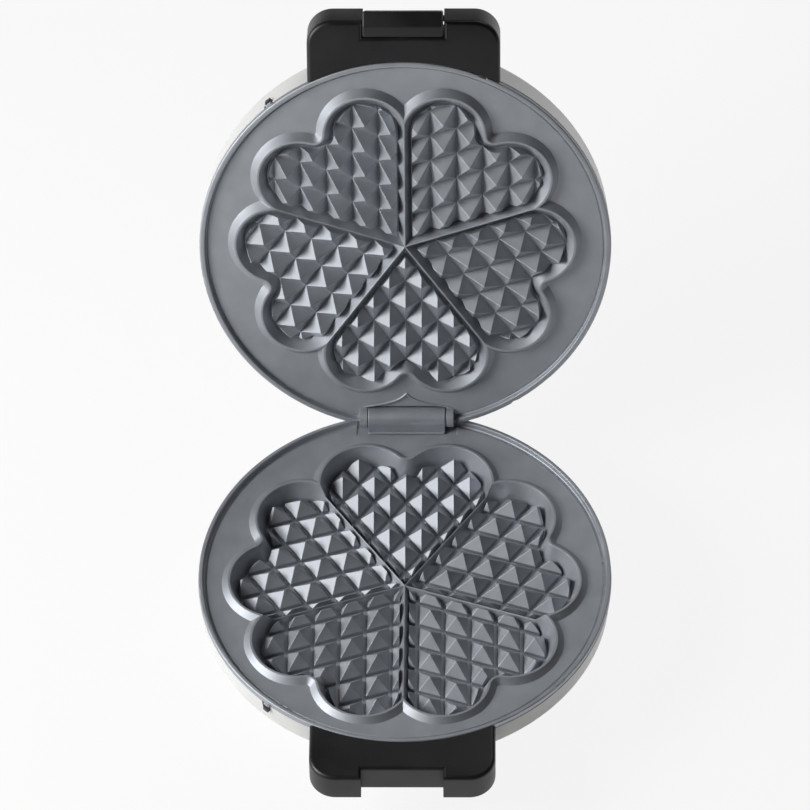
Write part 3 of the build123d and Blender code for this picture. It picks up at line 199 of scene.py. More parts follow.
def together(surfaces: list[Surface]) -> Surface:
    """Several surfaces as one, each one's faces counted on from the points before its own."""
    faces, shift = [], 0
    for surface in surfaces:
        faces += [[corner + shift for corner in face] for face in surface.faces]
        shift += len(surface.points)
    return Surface(np.concatenate([surface.points for surface in surfaces]), faces)


def capped(points: np.ndarray, columns: int) -> Surface:
    """Joins rings of points in turn, and closes the first ring and the last with a flat face.

    Args:
        points: The points, ring by ring.
        columns: Number of points in a ring.

    Returns:
        The closed surface.
    """
    foot = list(range(columns))
    top = [len(points) - columns + corner for corner in foot]
    faces = grid_faces(len(points) // columns, columns)
    return Surface(points, faces + [foot[::-1], top])


def lathe(profile: np.ndarray, segments: int, waves: int = 0, depth: float = 0.0) -> Surface:
    """Turns a profile about the Z axis.

    Args:
        profile: Points (radius, height), from one pole or edge to the other.
        segments: Steps around the axis.
        waves: Number of flutes around the axis.
        depth: Depth of a flute, which fades where the radius is small.

    Returns:
        The surface whose point (i, j) lies at the profile's radius i, less a cosine wave of the
        flutes, in the direction of angle j.
    """
    angle = np.linspace(0, TURN, segments, endpoint=False)
    radius = np.repeat(profile[:, :1], segments, axis=1)
    fade = np.clip(radius / max(profile[:, 0].max(), WELD), 0, 1) ** 4
    radius = radius - depth * fade * (0.5 + 0.5 * np.cos(waves * angle))
    height = np.repeat(profile[:, 1:], segments, axis=1)
    points = np.stack([radius * np.cos(angle), radius * np.sin(angle), height], axis=-1)
    return Surface(points.reshape(-1, 3), grid_faces(len(profile), segments))


def rounded_outline(corners: np.ndarray, radii: np.ndarray, steps: int) -> np.ndarray:
    """Rounds the corners of a polygon.

    Args:
        corners: The polygon's corners in turn.
        radii: Radius at each corner.
        steps: Points on each arc.

    Returns:
        Points of the rounded outline. Each arc's middle lies on the corner's bisector at radius
        over the sine of half the corner's angle, and touches both sides.
    """
    before = np.roll(corners, 1, axis=0) - corners
    after = np.roll(corners, -1, axis=0) - corners
    before /= np.linalg.norm(before, axis=1, keepdims=True)
    after /= np.linalg.norm(after, axis=1, keepdims=True)
    half = np.arccos(np.clip((before * after).sum(axis=1), -1, 1)) / 2
    bisector = before + after
    bisector /= np.linalg.norm(bisector, axis=1, keepdims=True)
    middle = corners + bisector * (radii / np.sin(half))[:, None]
    reach = (radii / np.tan(half))[:, None]
    first = corners + before * reach - middle
    last = corners + after * reach - middle
    start = np.arctan2(first[:, 1], first[:, 0])
    sweep = (np.arctan2(last[:, 1], last[:, 0]) - start + math.pi) % TURN - math.pi
    angle = start[:, None] + sweep[:, None] * np.linspace(0, 1, steps)
    curve = np.stack([np.cos(angle), np.sin(angle)], axis=-1) * radii[:, None, None]
    return (middle[:, None, :] + curve).reshape(-1, 2)


def rounded_box(
    x: tuple[float, float], y: tuple[float, float], corner: float, steps: int
) -> np.ndarray:
    """Outline of a rectangle between two x and two y, its corners rounded by a radius."""
    corners = np.array([(x[0], y[0]), (x[1], y[0]), (x[1], y[1]), (x[0], y[1])])
    return rounded_outline(corners, np.full(4, corner), steps)


def slab(
    outline: np.ndarray, low: float, high: float, edge: float, along: Along, steps: int = 5
) -> Surface:
    """Gives an outline a thickness with rounded edges.

    Args:
        outline: Points of a closed outline, seen against the axis of thickness.
        low: Lower end of the thickness.
        high: Upper end of the thickness.
        edge: Radius of the rounded edges.
        along: Axis of the thickness. Along X, the outline is (y, z), and along Z it is (x, y).
        steps: Points on each rounded edge.

    Returns:
        A closed surface. Each ring is the outline moved in along its mitred normals by the edge
        radius less its share of a quarter circle, and both ends are flat.
    """
    side = np.roll(outline, -1, axis=0) - outline
    side /= np.linalg.norm(side, axis=1, keepdims=True)
    normal = np.stack([side[:, 1], -side[:, 0]], axis=-1)
    before = np.roll(normal, 1, axis=0)
    mitre = (normal + before) / (1 + (normal * before).sum(axis=1, keepdims=True))
    x, y = outline[:, 0], outline[:, 1]
    winding = np.sign((x * np.roll(y, -1) - np.roll(x, -1) * y).sum())
    quarter = np.linspace(0, math.pi / 2, steps)
    inset = edge * (1 - np.sin(quarter))
    lift = edge * (1 - np.cos(quarter))
    insets = np.concatenate([inset, inset[::-1]])
    heights = np.concatenate([low + lift, (high - lift)[::-1]])
    rings = outline[None] - winding * mitre[None] * insets[:, None, None]
    level = np.repeat(heights[:, None, None], len(outline), axis=1)
    parts = [rings, level] if along is Along.Z else [level, rings]
    return capped(np.concatenate(parts, axis=-1).reshape(-1, 3), len(outline))


def bead(path: np.ndarray, height: float, radius: float, steps: int = 12) -> Surface:
    """Lays a round bead along a level path.

    Args:
        path: Points of the path as (x, y).
        height: Height of its middle line.
        radius: The bead's radius.
        steps: Points around it.

    Returns:
        A closed tube with flat ends. Each ring is a circle across the path's mean direction there:
        the middle, plus the radius times cosine across and sine up.
    """
    along = np.gradient(path, axis=0)
    along /= np.linalg.norm(along, axis=1, keepdims=True)
    across = np.stack([-along[:, 1], along[:, 0], np.zeros(len(path))], axis=-1)
    angle = np.linspace(0, TURN, steps, endpoint=False)[:, None]
    rings = radius * (np.cos(angle) * across[:, None] + np.sin(angle) * np.array([0.0, 0.0, 1.0]))
    middles = np.column_stack([path, np.full(len(path), height)])
    return capped((middles[:, None] + rings).reshape(-1, 3), steps)


def arc(
    radius: float, start: float, end: float, steps: int, centre: tuple[float, float]
) -> np.ndarray:
    """Points on an arc about a centre, the angles in degrees from the first axis."""
    angle = np.radians(np.linspace(start, end, steps))
    return np.array(centre) + radius * np.stack([np.cos(angle), np.sin(angle)], axis=-1)


def cubic(pulls: Pairs, steps: int) -> np.ndarray:
    """Points on a cubic curve from the first of four points to the last, which the others pull."""
    share = np.linspace(0, 1, steps)[:, None]
    first, second, third, last = np.array(pulls)
    return (
        (1 - share) ** 3 * first
        + 3 * (1 - share) ** 2 * share * second
        + 3 * (1 - share) * share**2 * third
        + share**3 * last
    )


def new_object(name: str, data: bpy.types.ID) -> bpy.types.Object:
    """Makes an object from a mesh, text, light or camera, and puts it in the scene."""
    piece = bpy.data.objects.new(name, data)
    bpy.context.scene.collection.objects.link(piece)
    return piece


def make_object(name: str, surface: Surface, carrier: Carrier) -> bpy.types.Object:
    """Makes a mesh object from a surface and places it in the model's frame.

    Args:
        name: The object's name.
        surface: Its points and faces, in millimetres, lid closed.
        carrier: The body that it rides on.

    Returns:
        The object at the origin, its doubled points merged and its faces outwards. Faces with more
        than four corners, which close the ends, are shaded flat.
    """
    mesh = bpy.data.meshes.new(name)
    mesh.from_pydata(placed(surface.points, carrier), [], surface.faces)
    work = bmesh.new()
    work.from_mesh(mesh)
    bmesh.ops.remove_doubles(work, verts=work.verts, dist=WELD)
    bmesh.ops.recalc_face_normals(work, faces=work.faces)
    work.to_mesh(mesh)
    work.free()
    mesh.polygons.foreach_set("use_smooth", [len(face.vertices) <= 4 for face in mesh.polygons])
    mesh.set_sharp_from_angle(angle=math.radians(CREASE))
    return new_object(name, mesh)


def welded_copy(name: str, node: str, crease: float = 24.0) -> bpy.types.Object:
    """A welded copy of a model node, smooth along its curves and flat on its facets.

    Args:
        name: The copy's name.
        node: The node that it copies and stands for.
        crease: Angle in degrees above which an edge stays sharp.

    Returns:
        The object at the origin.
    """
    work = bmesh.new()
    work.from_mesh(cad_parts[node].data)
    bmesh.ops.remove_doubles(work, verts=work.verts, dist=WELD)
    mesh = bpy.data.meshes.new(name)
    work.to_mesh(mesh)
    work.free()
    for layer in [a.name for a in mesh.attributes if "normal" in a.name]:
        mesh.attributes.remove(mesh.attributes[layer])
    mesh.shade_smooth()
    mesh.set_sharp_from_angle(angle=math.radians(crease))
    return new_object(name, mesh)


# Finishes


def linear(colour: str) -> tuple[float, float, float, float]:
    """An sRGB hex colour such as "8a8d91" as linear red, green and blue, with an alpha of one."""
    values = [int(colour[start : start + 2], 16) / 255 for start in (0, 2, 4)]
    curve = [v / 12.92 if v <= 0.04045 else ((v + 0.055) / 1.055) ** 2.4 for v in values]
    return (*curve, 1.0)


def add_node(tree, kind: str, inputs: dict | None = None, **settings) -> bpy.types.Node:
    """Adds a node to a material.

    Args:
        tree: The material's node tree.
        kind: The node's type, less the ShaderNode that it starts with.
        inputs: Value of each named or numbered input, or the socket that feeds it.
        **settings: The node's own settings.

    Returns:
        The new node.
    """
    node = tree.nodes.new(f"ShaderNode{kind}")
    for setting, value in settings.items():
        setattr(node, setting, value)
    for name, value in (inputs or {}).items():
        if isinstance(value, bpy.types.NodeSocket):
            tree.links.new(value, node.inputs[name])
        else:
            node.inputs[name].default_value = value
    return node


@dataclass(frozen=True)
class Finish:
    """A material with mottled colour, uneven gloss and a fine relief, all in millimetres.

    The colour wanders between shade and colour over patches of mottle size. The gloss wanders by
    gloss_swing over the same patches. The relief has bumps of grain size and relief height. Sharp
    edges catch the light as if they were rounded by the edge radius.
    """

    name: str
    slot: str
    colour: str
    shade: str
    roughness: float
    mottle: float = 12.0
    gloss_swing: float = 0.06
    grain: float = 0.8
    relief: float = 0.01
    metallic: float = 0.0
    ior: float = 1.5
    coat: float = 0.0
    transmission: float = 0.0
    stretch: tuple[float, float, float] = (1.0, 1.0, 1.0)
    edge: float = 0.0

    def build(self) -> bpy.types.Material:
        """Makes the material from its nodes."""
        material = bpy.data.materials.new(self.name)
        material.use_nodes = True
        tree = material.node_tree
        tree.nodes.clear()
        space = add_node(tree, "TexCoord").outputs["Object"]
        mapping = add_node(tree, "Mapping", {"Vector": space, "Scale": self.stretch})
        patches, bumps = (
            add_node(
                tree,
                "TexNoise",
                {"Vector": mapping.outputs["Vector"], "Scale": 1 / (size * MM), "Detail": detail},
            ).outputs["Fac"]
            for size, detail in ((self.mottle, 3.0), (self.grain, 2.0))
        )
        spread = {"Value": patches, "From Min": 0.3, "From Max": 0.7}
        tint = add_node(tree, "MapRange", spread)
        colour = add_node(tree, "ValToRGB", {"Fac": tint.outputs["Result"]})
        for element, tone in zip(colour.color_ramp.elements, (self.shade, self.colour)):
            element.color = linear(tone)
        low, high = self.roughness - self.gloss_swing, self.roughness + self.gloss_swing
        gloss = add_node(tree, "MapRange", {**spread, "To Min": low, "To Max": high})
        relief = {"Height": bumps, "Strength": 1.0, "Distance": self.relief * MM}
        if self.edge:
            soft = add_node(tree, "Bevel", {"Radius": self.edge * MM}, samples=6)
            relief["Normal"] = soft.outputs["Normal"]
        shader = add_node(
            tree,
            "BsdfPrincipled",
            {
                "Base Color": colour.outputs["Color"],
                "Roughness": gloss.outputs["Result"],
                "Normal": add_node(tree, "Bump", relief).outputs["Normal"],
                "Metallic": self.metallic,
                "IOR": self.ior,
                "Coat Weight": self.coat,
                "Coat Roughness": 0.1,
                "Transmission Weight": self.transmission,
            },
        )
        output = add_node(tree, "OutputMaterial", {"Surface": shader.outputs["BSDF"]})
        output.is_active_output = True
        return material


# Sprayed non-stick coating on a die-cast plate: grey with metal flakes in it, whose satin gloss
# lights up whole facets, and a faint orange peel.
NON_STICK = Finish(
    name="sprayed_nonstick_coating", slot="nonstick", colour="babec4", shade="b0b4ba",
    roughness=0.56, mottle=9.0, gloss_swing=0.04, grain=0.9, relief=0.012, metallic=0.72,
    edge=0.45,
)
# Injection-moulded ABS: warm white, even and glossy, with a slight waviness.
WHITE_ABS = Finish(
    name="moulded_white_abs", slot="white_plastic", colour="f3f3f1", shade="f1f1ee",
    roughness=0.3, mottle=40.0, gloss_swing=0.02, grain=2.5, relief=0.004, coat=0.1,
)
# Spark-eroded texture on moulded grey ABS: dull, with grains a few tenths of a millimetre wide,
# drawn twice as coarse so that they show.
GREY_ABS = Finish(
    name="textured_grey_abs", slot="grey_plastic", colour="8c8e90", shade="828486",
    roughness=0.55, mottle=20.0, grain=0.7, relief=0.05,
)
# Glass-filled nylon of the handles and latch: deep black, satin, with a leathery fine grain.
BLACK_NYLON = Finish(
    name="textured_black_nylon", slot="black_plastic", colour="1d1d1f", shade="171719",
    roughness=0.42, mottle=15.0, relief=0.04,
)
# Zinc-plated steel screws and pins: cool grey metal with uneven gloss.
ZINC_STEEL = Finish(
    name="zinc_plated_steel", slot="steel", colour="b9bbbd", shade="9b9da0", roughness=0.34,
    mottle=1.5, gloss_swing=0.1, grain=0.3, relief=0.008, metallic=1.0,
)
# Stainless heater sheath, oxidised by its heat: brownish grey metal with dull patches.
HEATER_SHEATH = Finish(
    name="oxidised_heater_sheath", slot="heater_sheath", colour="7b736a", shade="58524c",
    roughness=0.45, mottle=8.0, gloss_swing=0.12, grain=0.5, metallic=1.0,
)
# Aluminised steel sheet, rolled: bright, with long faint streaks along one way.
ALUMINISED_SHEET = Finish(
    name="rolled_aluminised_sheet", slot="reflector_sheet", colour="c9cbcc", shade="b4b6b8",
    roughness=0.3, mottle=2.0, gloss_swing=0.08, grain=0.6, relief=0.006, metallic=1.0,
    stretch=(0.08, 1.0, 1.0),
)
# Black rubber feet: very dull, with a powdery bloom.
RUBBER = Finish(
    name="moulded_black_rubber", slot="rubber", colour="262627", shade="1f1f20", roughness=0.85,
    mottle=5.0, grain=0.5, relief=0.03,
)
# Clear red polycarbonate lamp lens: glossy, and some light passes through it.
RED_LENS = Finish(
    name="red_polycarbonate_lens", slot="red_lens", colour="c4161c", shade="a81016",
    roughness=0.12, mottle=2.0, gloss_swing=0.02, grain=1.0, transmission=0.35, ior=1.58,
)
# Clear green polycarbonate lamp lens: as the red one.
GREEN_LENS = replace(
    RED_LENS, name="green_polycarbonate_lens", slot="green_lens", colour="1f9c46",
    shade="167a36",
)
# Moulded phenolic of the electrical parts: dark brown, with pale flecks of its filler.
PHENOLIC = Finish(
    name="moulded_phenolic", slot="phenolic", colour="3c2a20", shade="2c1f18", roughness=0.5,
    mottle=1.2, grain=0.6, relief=0.02,
)
# Pad-printed marks: flat grey ink, thin and dull on the glossy plastic.
PRINT_INK = Finish(
    name="pad_printed_grey_ink", slot="black_plastic", colour="5a5c5f", shade="525457",
    roughness=0.6, mottle=1.0, grain=0.3, relief=0.003,
)
# White ink of the knob's pointer: a little smoother.
WHITE_INK = replace(
    PRINT_INK, name="printed_white_ink", slot="white_plastic", colour="ededeb", shade="e4e4e2",
    roughness=0.5,
)


@dataclass
class Workshop:
    """Dresses finished pieces, and keeps one material for each finish."""

    materials: dict[str, bpy.types.Material] = field(default_factory=dict)

    def material(self, finish: Finish) -> bpy.types.Material:
        """The finish's material, made once."""
        if finish.name not in self.materials:
            self.materials[finish.name] = finish.build()
        return self.materials[finish.name]

    def dress(
        self, piece: bpy.types.Object, finish: Finish, carrier: Carrier, *nodes: str
    ) -> None:
        """Gives a piece its material, body and slot.

        Args:
            piece: The finished piece.
            finish: Its finish.
            carrier: The body that it rides on.
            *nodes: The model's nodes that it stands for.
        """
        piece.data.materials.clear()
        piece.data.materials.append(self.material(finish))
        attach(piece, carrier.value)
        if nodes:
            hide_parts(*nodes)
        LOG.info("%s: %d faces on %s", piece.name, len(piece.data.polygons), carrier.value)

    def paint_node(self, node: str, finish: Finish) -> None:
        """Gives one of the model's own nodes a finish."""
        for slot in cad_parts[node].material_slots:
            slot.material = self.material(finish)
        LOG.info("%s: %s", node, finish.name)


# Sub-assemblies


@dataclass(frozen=True)
class Rim:
    """How the round bead of a plate's rim is levelled. Heights are over the rim's plane.

    The bead follows the circle through three points (radius, height). The new section has corners
    (share, radius, height), each at a share of the bead's angle.
    """

    bead: Pairs
    section: tuple[tuple[float, float, float], ...]


LOWER_RIM = Rim(
    bead=((95.0, -1.5), (93.2, 0.0), (91.4, -2.2)),
    section=(
        (0.0, 95.0, -1.5), (0.2, 95.0, -0.45),
        (0.28, 94.7, -0.1), (0.5, 93.3, -0.06),
        (0.58, 93.1, -0.3), (0.72, 92.7, -2.75),
        (0.88, 91.6, -2.75), (1.0, 91.1, -2.25),
    ),
)
UPPER_RIM = Rim(
    bead=((95.0, -1.5), (93.2, 0.0), (91.4, -2.3)),
    section=(
        (0.0, 95.0, -1.5), (0.2, 95.0, -0.4),
        (0.28, 94.75, -0.1), (0.5, 92.75, -0.05),
        (0.58, 92.6, -0.3), (0.72, 92.3, -2.6),
        (0.88, 91.7, -2.7), (1.0, 91.3, -2.3),
    ),
)


@dataclass
class CookingPlates:
    """Both cast plates, with the model's own hearts and pyramids, and a levelled rim.

    One thin bead follows the pointed arch over the hinge's barrel, and one the barrel's foot.
    """

    workshop: Workshop
    bead_slack: float = 0.03
    share_slack: float = 0.01
    just_before: float = 1.9 * math.pi
    arch: Pairs = ((20.0, 84.2), (12.0, 82.76), (4.0, 82.04), (0.0, 77.0))
    arch_rise: float = 2.3
    foot_line: Pairs = ((-17.6, 84.5), (17.6, 84.5))
    foot_depth: float = 2.2
    bead_radius: float = 0.5

    def arch_path(self) -> np.ndarray:
        """The pointed arch: a cubic curve from one foot to the tip, and its mirror image."""
        half = cubic(self.arch, 28)
        return np.concatenate([half, half[-2::-1] * np.array([-1.0, 1.0])])

    def level_rim(self, piece: bpy.types.Object, carrier: Carrier, rim: Rim) -> None:
        """Turns the round bead of a plate's rim into a flat band with a groove inside it.

        Args:
            piece: The plate's copy.
            carrier: The body that it rides on.
            rim: The bead and its new section.

        Each point on the bead keeps its share of the bead's angle, and that share is read off
        between the new section's corners. A point whose angle is just before the start counts as
        one on the start.
        """
        seat, side = (LAYOUT.rim_z, 1) if carrier is Carrier.BASE else (LAYOUT.lid_rim_z, -1)
        flat = np.empty(len(piece.data.vertices) * 3)
        piece.data.vertices.foreach_get("co", flat)
        points = drawn(flat.reshape(-1, 3), carrier)
        first, middle, last = np.array(rim.bead)
        chords = 2 * np.array([middle - first, last - first])
        squares = [middle @ middle - first @ first, last @ last - first @ first]
        centre = np.linalg.solve(chords, squares)
        start, end = (math.atan2(*(point - centre)[::-1]) for point in (first, last))
        radius = np.hypot(points[:, 0], points[:, 1])
        offset = np.stack([radius, (points[:, 2] - seat) * side], axis=-1) - centre
        past = (np.arctan2(offset[:, 1], offset[:, 0]) - start) % TURN
        share = np.where(past > self.just_before, 0.0, past) / ((end - start) % TURN)
        stray = abs(np.linalg.norm(offset, axis=1) - np.linalg.norm(first - centre))
        on_bead = (stray < self.bead_slack) & (share < 1 + self.share_slack)
        shares, radii, heights = np.array(rim.section).T
        new_radius, new_height = (np.interp(share, shares, values) for values in (radii, heights))
        points[:, :2] *= np.where(on_bead, new_radius / np.maximum(radius, WELD), 1.0)[:, None]
        points[:, 2] = np.where(on_bead, seat + side * new_height, points[:, 2])
        piece.data.vertices.foreach_set("co", placed(points, carrier).ravel())
        piece.data.update()
        LOG.info("levelled %d points of %s", int(on_bead.sum()), piece.name)

    def build(self) -> None:
        """Makes the lower plate, the upper plate and the two beads."""
        shop = self.workshop
        for node, carrier, rim in (
            ("lower_plate", Carrier.BASE, LOWER_RIM),
            ("upper_plate", Carrier.LID, UPPER_RIM),
        ):
            plate = welded_copy(f"cast_{node}", node)
            self.level_rim(plate, carrier, rim)
            shop.dress(plate, NON_STICK, carrier, node)
        arch = bead(self.arch_path(), LAYOUT.lid_rim_z + self.arch_rise, self.bead_radius)
        shop.dress(make_object("arch_bead", arch, Carrier.LID), NON_STICK, Carrier.LID)
        foot_path = np.linspace(*self.foot_line, 12)
        foot = bead(foot_path, LAYOUT.rim_z - self.foot_depth, self.bead_radius)
        shop.dress(make_object("barrel_bead", foot, Carrier.BASE), NON_STICK, Carrier.BASE)


@dataclass
class Shells:
    """The two moulded shells, the tab of each plate that stands in its shell's notch, and a black
    block in each notch as painted shade.
    """

    workshop: Workshop
    notch_angle: float = 229.7
    notch_depth: float = 3.4
    rim_skirt: float = 3.0
    # The black block that fills each notch is painted shade: it stands for the dark, unlit inside
    # of the notch.
    peg_width: float = 3.0
    peg_reach: tuple[float, float] = (92.6, 96.6)
    tab_width: float = 3.4
    tab_reach: tuple[float, float] = (94.0, 96.1)
    tab_thickness: float = 1.0
    peg_corner: float = 0.3
    tab_corner: float = 0.6
    block_edge: float = 0.15

    def block(
        self, reach: tuple[float, float], width: float, low: float, high: float, corner: float
    ) -> Surface:
        """A small block at the notch.

        Args:
            reach: Its inner and outer distance from the plates' axis.
            width: Its width.
            low: Its lower height.
            high: Its upper height.
            corner: Radius of its corners.

        Returns:
            A rounded slab, turned about the plates' axis to the notch's direction.
        """
        outline = rounded_box(reach, (-width / 2, width / 2), corner, 5)
        block = slab(outline, low, high, self.block_edge, Along.Z, 3)
        return block.spun(math.radians(self.notch_angle))

    def build(self) -> None:
        """Makes the base shell and the lid shell, a black block of painted shade in each notch, and
        the plates' tabs.
        """
        shop = self.workshop
        for node, carrier in (("base_shell", Carrier.BASE), ("lid_shell", Carrier.LID)):
            shop.dress(welded_copy(f"moulded_{node}", node), WHITE_ABS, carrier, node)
        places = {
            Carrier.BASE: (LAYOUT.rim_z - self.rim_skirt, -1),
            Carrier.LID: (LAYOUT.lid_rim_z + self.rim_skirt, 1),
        }
        for carrier, (seat, away) in places.items():
            shade_block_low, shade_block_high = sorted((seat, seat + away * self.notch_depth))
            tab_low, tab_high = sorted((seat, seat - away * self.tab_thickness))
            # Black nylon block in the notch: painted shade for the notch's dark inside, not a real
            # part.
            shade_block = self.block(self.peg_reach, self.peg_width, shade_block_low, shade_block_high, self.peg_corner)
            tab = self.block(self.tab_reach, self.tab_width, tab_low, tab_high, self.tab_corner)
            name = carrier.value
            shop.dress(make_object(f"{name}_notch_shade_block", shade_block, carrier), BLACK_NYLON, carrier)
            shop.dress(make_object(f"{name}_plate_tab", tab, carrier), NON_STICK, carrier)


@dataclass
class Handles:
    """Lower and upper handle, with rounded grips and a recess for the latch."""

    workshop: Workshop
    crease: float = 32.0

    def build(self) -> None:
        """Makes both handles and dresses the latch's pin and the screws."""
        for name, node, carrier in (
            ("lower_grip", "lower_handle", Carrier.BASE),
            ("upper_grip", "upper_handle", Carrier.LID),
        ):
            self.workshop.dress(welded_copy(name, node, self.crease), BLACK_NYLON, carrier, node)
        for node in ("lower_handle_screws", "upper_handle_screws", "latch_pin"):
            self.workshop.paint_node(node, ZINC_STEEL)


@dataclass
class Latch:
    """The latch clip: a knuckle on the pin, a strap, a hook and a finger tab."""

    workshop: Workshop
    width: float = 36.0
    knuckle: float = 3.4
    thickness: float = 3.6
    hook_top: float = 27.4
    hook_depth: float = 3.5
    hook_end: float = -107.0
    tab: float = 4.0
    edge: float = 0.8

    def outline(self) -> np.ndarray:
        """The clip seen from the side, as (y, z), from corners (y, z, radius)."""
        back, pivot = LAYOUT.latch_pivot
        front = back - self.thickness
        top, foot = pivot + self.knuckle, self.hook_top - self.hook_depth
        corners = np.array(
            [
                (front, top, 3.2),
                (back + self.knuckle, top, 3.2),
                (back + self.knuckle, pivot - self.knuckle, 2.6),
                (back, pivot - self.knuckle - 1.0, 1.0),
                (back, self.hook_top, 0.8),
                (self.hook_end, self.hook_top, 0.5),
                (self.hook_end, self.hook_top - self.hook_depth / 2, 0.7),
                (back, foot, 3.0),
                (front - self.tab, foot, 0.8),
                (front, self.hook_top + self.tab, 4.0),
            ]
        )
        return rounded_outline(corners[:, :2], corners[:, 2], 9)

    def build(self) -> None:
        """Makes the clip."""
        clip = slab(self.outline(), -self.width / 2, self.width / 2, self.edge, Along.X)
        piece = make_object("latch_strap", clip, Carrier.LATCH)
        self.workshop.dress(piece, BLACK_NYLON, Carrier.LATCH, "latch_clip")


@dataclass
class Controls:
    """Thermostat knob with its printed dial, and the two lamps on the lid."""

    workshop: Workshop
    knob_radius: float = 17.0
    knob_gap: float = 0.5
    knob_height: float = 13.0
    skirt: float = 4.0
    knob_bore: float = 3.1
    knob_foot: float = 0.4
    knob_edge: float = 1.2
    crown: tuple[float, float] = (4.0, 0.5)
    grip_width: float = 8.0
    grip_inset: float = 2.2
    grip_edge: float = 1.6
    flutes: int = 24
    flute_depth: float = 0.5
    lamp_x: float = 27.0
    lamp_radius: float = 3.5
    lamp_rise: float = 1.2
    wall: float = 2.5
    shoulder: tuple[tuple[float, float], ...] = ((94.4, 62.6), (62.0, 84.6))
    shoulder_bulge: float = 0.45
    dial_radius: float = 20.5
    numeral_radius: float = 24.0
    numeral_size: float = 4.6
    ink: float = 0.06
    tick: tuple[float, float] = (2.4, 0.6)
    pointer_span: tuple[float, float] = (3.0, 12.4)
    pointer_width: float = 1.0
    lens_ring: float = 0.06
    settings: int = 5
    turn: float = 270.0

    def roof_height(self, radius: np.ndarray) -> np.ndarray:
        """Height of the lid's outside at a distance from its axis.

        Args:
            radius: Distances from the plates' axis.

        Returns:
            Heights read off the shoulder's cubic curve, which leaves the side upwards and meets
            the flat roof level.
        """
        (side_r, side_z), (top_r, top_z) = self.shoulder
        reach, rise = self.shoulder_bulge * np.array([side_r - top_r, top_z - side_z])
        pulls = ((side_r, side_z), (side_r, side_z + rise), (top_r + reach, top_z), (top_r, top_z))
        along, height = cubic(pulls, 200)[::-1].T
        return np.interp(radius, along, height)

    def on_roof(self, points: np.ndarray) -> np.ndarray:
        """Sets flat printed points, drawn around the knob, down on the lid's outside."""
        points = points + np.array([0.0, LAYOUT.control_y, 0.0])
        height = self.roof_height(np.hypot(points[:, 0], points[:, 1]))
        return np.stack([points[:, 0], points[:, 1], points[:, 2] + height], axis=-1)

    def knob(self) -> Surface:
        """A fluted skirt with a straight grip bar across it."""
        foot = LAYOUT.lid_top_z + self.knob_gap
        radius, top = self.knob_radius, foot + self.skirt
        lift, edge = self.knob_foot, self.knob_edge
        crown_inset, crown_rise = self.crown
        profile = np.concatenate(
            [
                [(self.knob_bore, foot), (radius - lift, foot), (radius, foot + lift)],
                arc(edge, 0, 90, 6, (radius - edge, top - edge)),
                [(radius - crown_inset, top), (0.0, top + crown_rise)],
            ]
        )
        half, width = radius - self.grip_inset, self.grip_width / 2
        bar = rounded_box((-half, half), (-width, width), width * 0.8, 8)
        grip = slab(bar, top - crown_rise, foot + self.knob_height, self.grip_edge, Along.Z)
        skirt = lathe(profile, 240, self.flutes, self.flute_depth)
        return together([skirt, grip]).moved(0, LAYOUT.control_y)

    def pointer(self) -> Surface:
        """A thin printed bar on the grip, from its middle to its end."""
        top = LAYOUT.lid_top_z + self.knob_gap + self.knob_height
        half = self.pointer_width / 2
        outline = rounded_box(self.pointer_span, (-half, half), 0.4, 5)
        return slab(outline, top - 0.05, top + 0.08, 0.03, Along.Z, 2).moved(0, LAYOUT.control_y)

    def dial_angles(self) -> np.ndarray:
        """Directions of the dial's settings, spread over the knob's turn."""
        return np.radians(np.linspace(0, -self.turn, self.settings + 1))

    def ticks(self) -> Surface:
        """Printed ticks around the knob, one for each setting."""
        length, width = np.array(self.tick) / 2
        outline = rounded_box((-length, length), (-width, width), 0.2, 4)
        tick = slab(outline, -0.05, self.ink, 0.02, Along.Z, 2).moved(self.dial_radius, 0)
        marks = together([tick.spun(angle) for angle in self.dial_angles()])
        return Surface(self.on_roof(marks.points), marks.faces)

    def numeral(self, number: int, angle: float) -> bpy.types.Object:
        """A plain printed number beside its tick.

        Args:
            number: The number.
            angle: Direction of its tick.

        Returns:
            A thin mesh that lies on the lid's outside, upright for someone in front of the lid.
        """
        text = bpy.data.curves.new(f"numeral_{number}", "FONT")
        text.body = str(number)
        text.size = self.numeral_size
        text.extrude = self.ink
        text.align_x = "CENTER"
        text.align_y = "CENTER"
        holder = new_object(text.name, text)
        bpy.context.view_layer.update()
        evaluated = holder.evaluated_get(bpy.context.evaluated_depsgraph_get())
        mesh = bpy.data.meshes.new_from_object(evaluated)
        points = np.empty(len(mesh.vertices) * 3)
        mesh.vertices.foreach_get("co", points)
        middle = np.array([math.cos(angle), math.sin(angle), 0]) * self.numeral_radius
        flat = self.on_roof(points.reshape(-1, 3) + middle)
        mesh.vertices.foreach_set("co", placed(flat, Carrier.LID).ravel())
        mesh.update()
        bpy.data.objects.remove(holder)
        return new_object(f"dial_number_{number}", mesh)

    def lens(self, x: float) -> Surface:
        """A domed lens with two fine rings, standing in its hole."""
        top = LAYOUT.lid_top_z
        along = np.linspace(0, 1, 24)
        dome = self.lamp_rise * (1 - along**2.6) + self.lens_ring * np.cos(along * 5 * math.pi)
        crown = np.stack([self.lamp_radius * along, top + dome], axis=-1)
        crown[-1, 1] = top
        foot = [(self.lamp_radius, top - self.wall), (0.0, top - self.wall)]
        return lathe(np.concatenate([crown, foot]), 64).moved(x, LAYOUT.control_y)

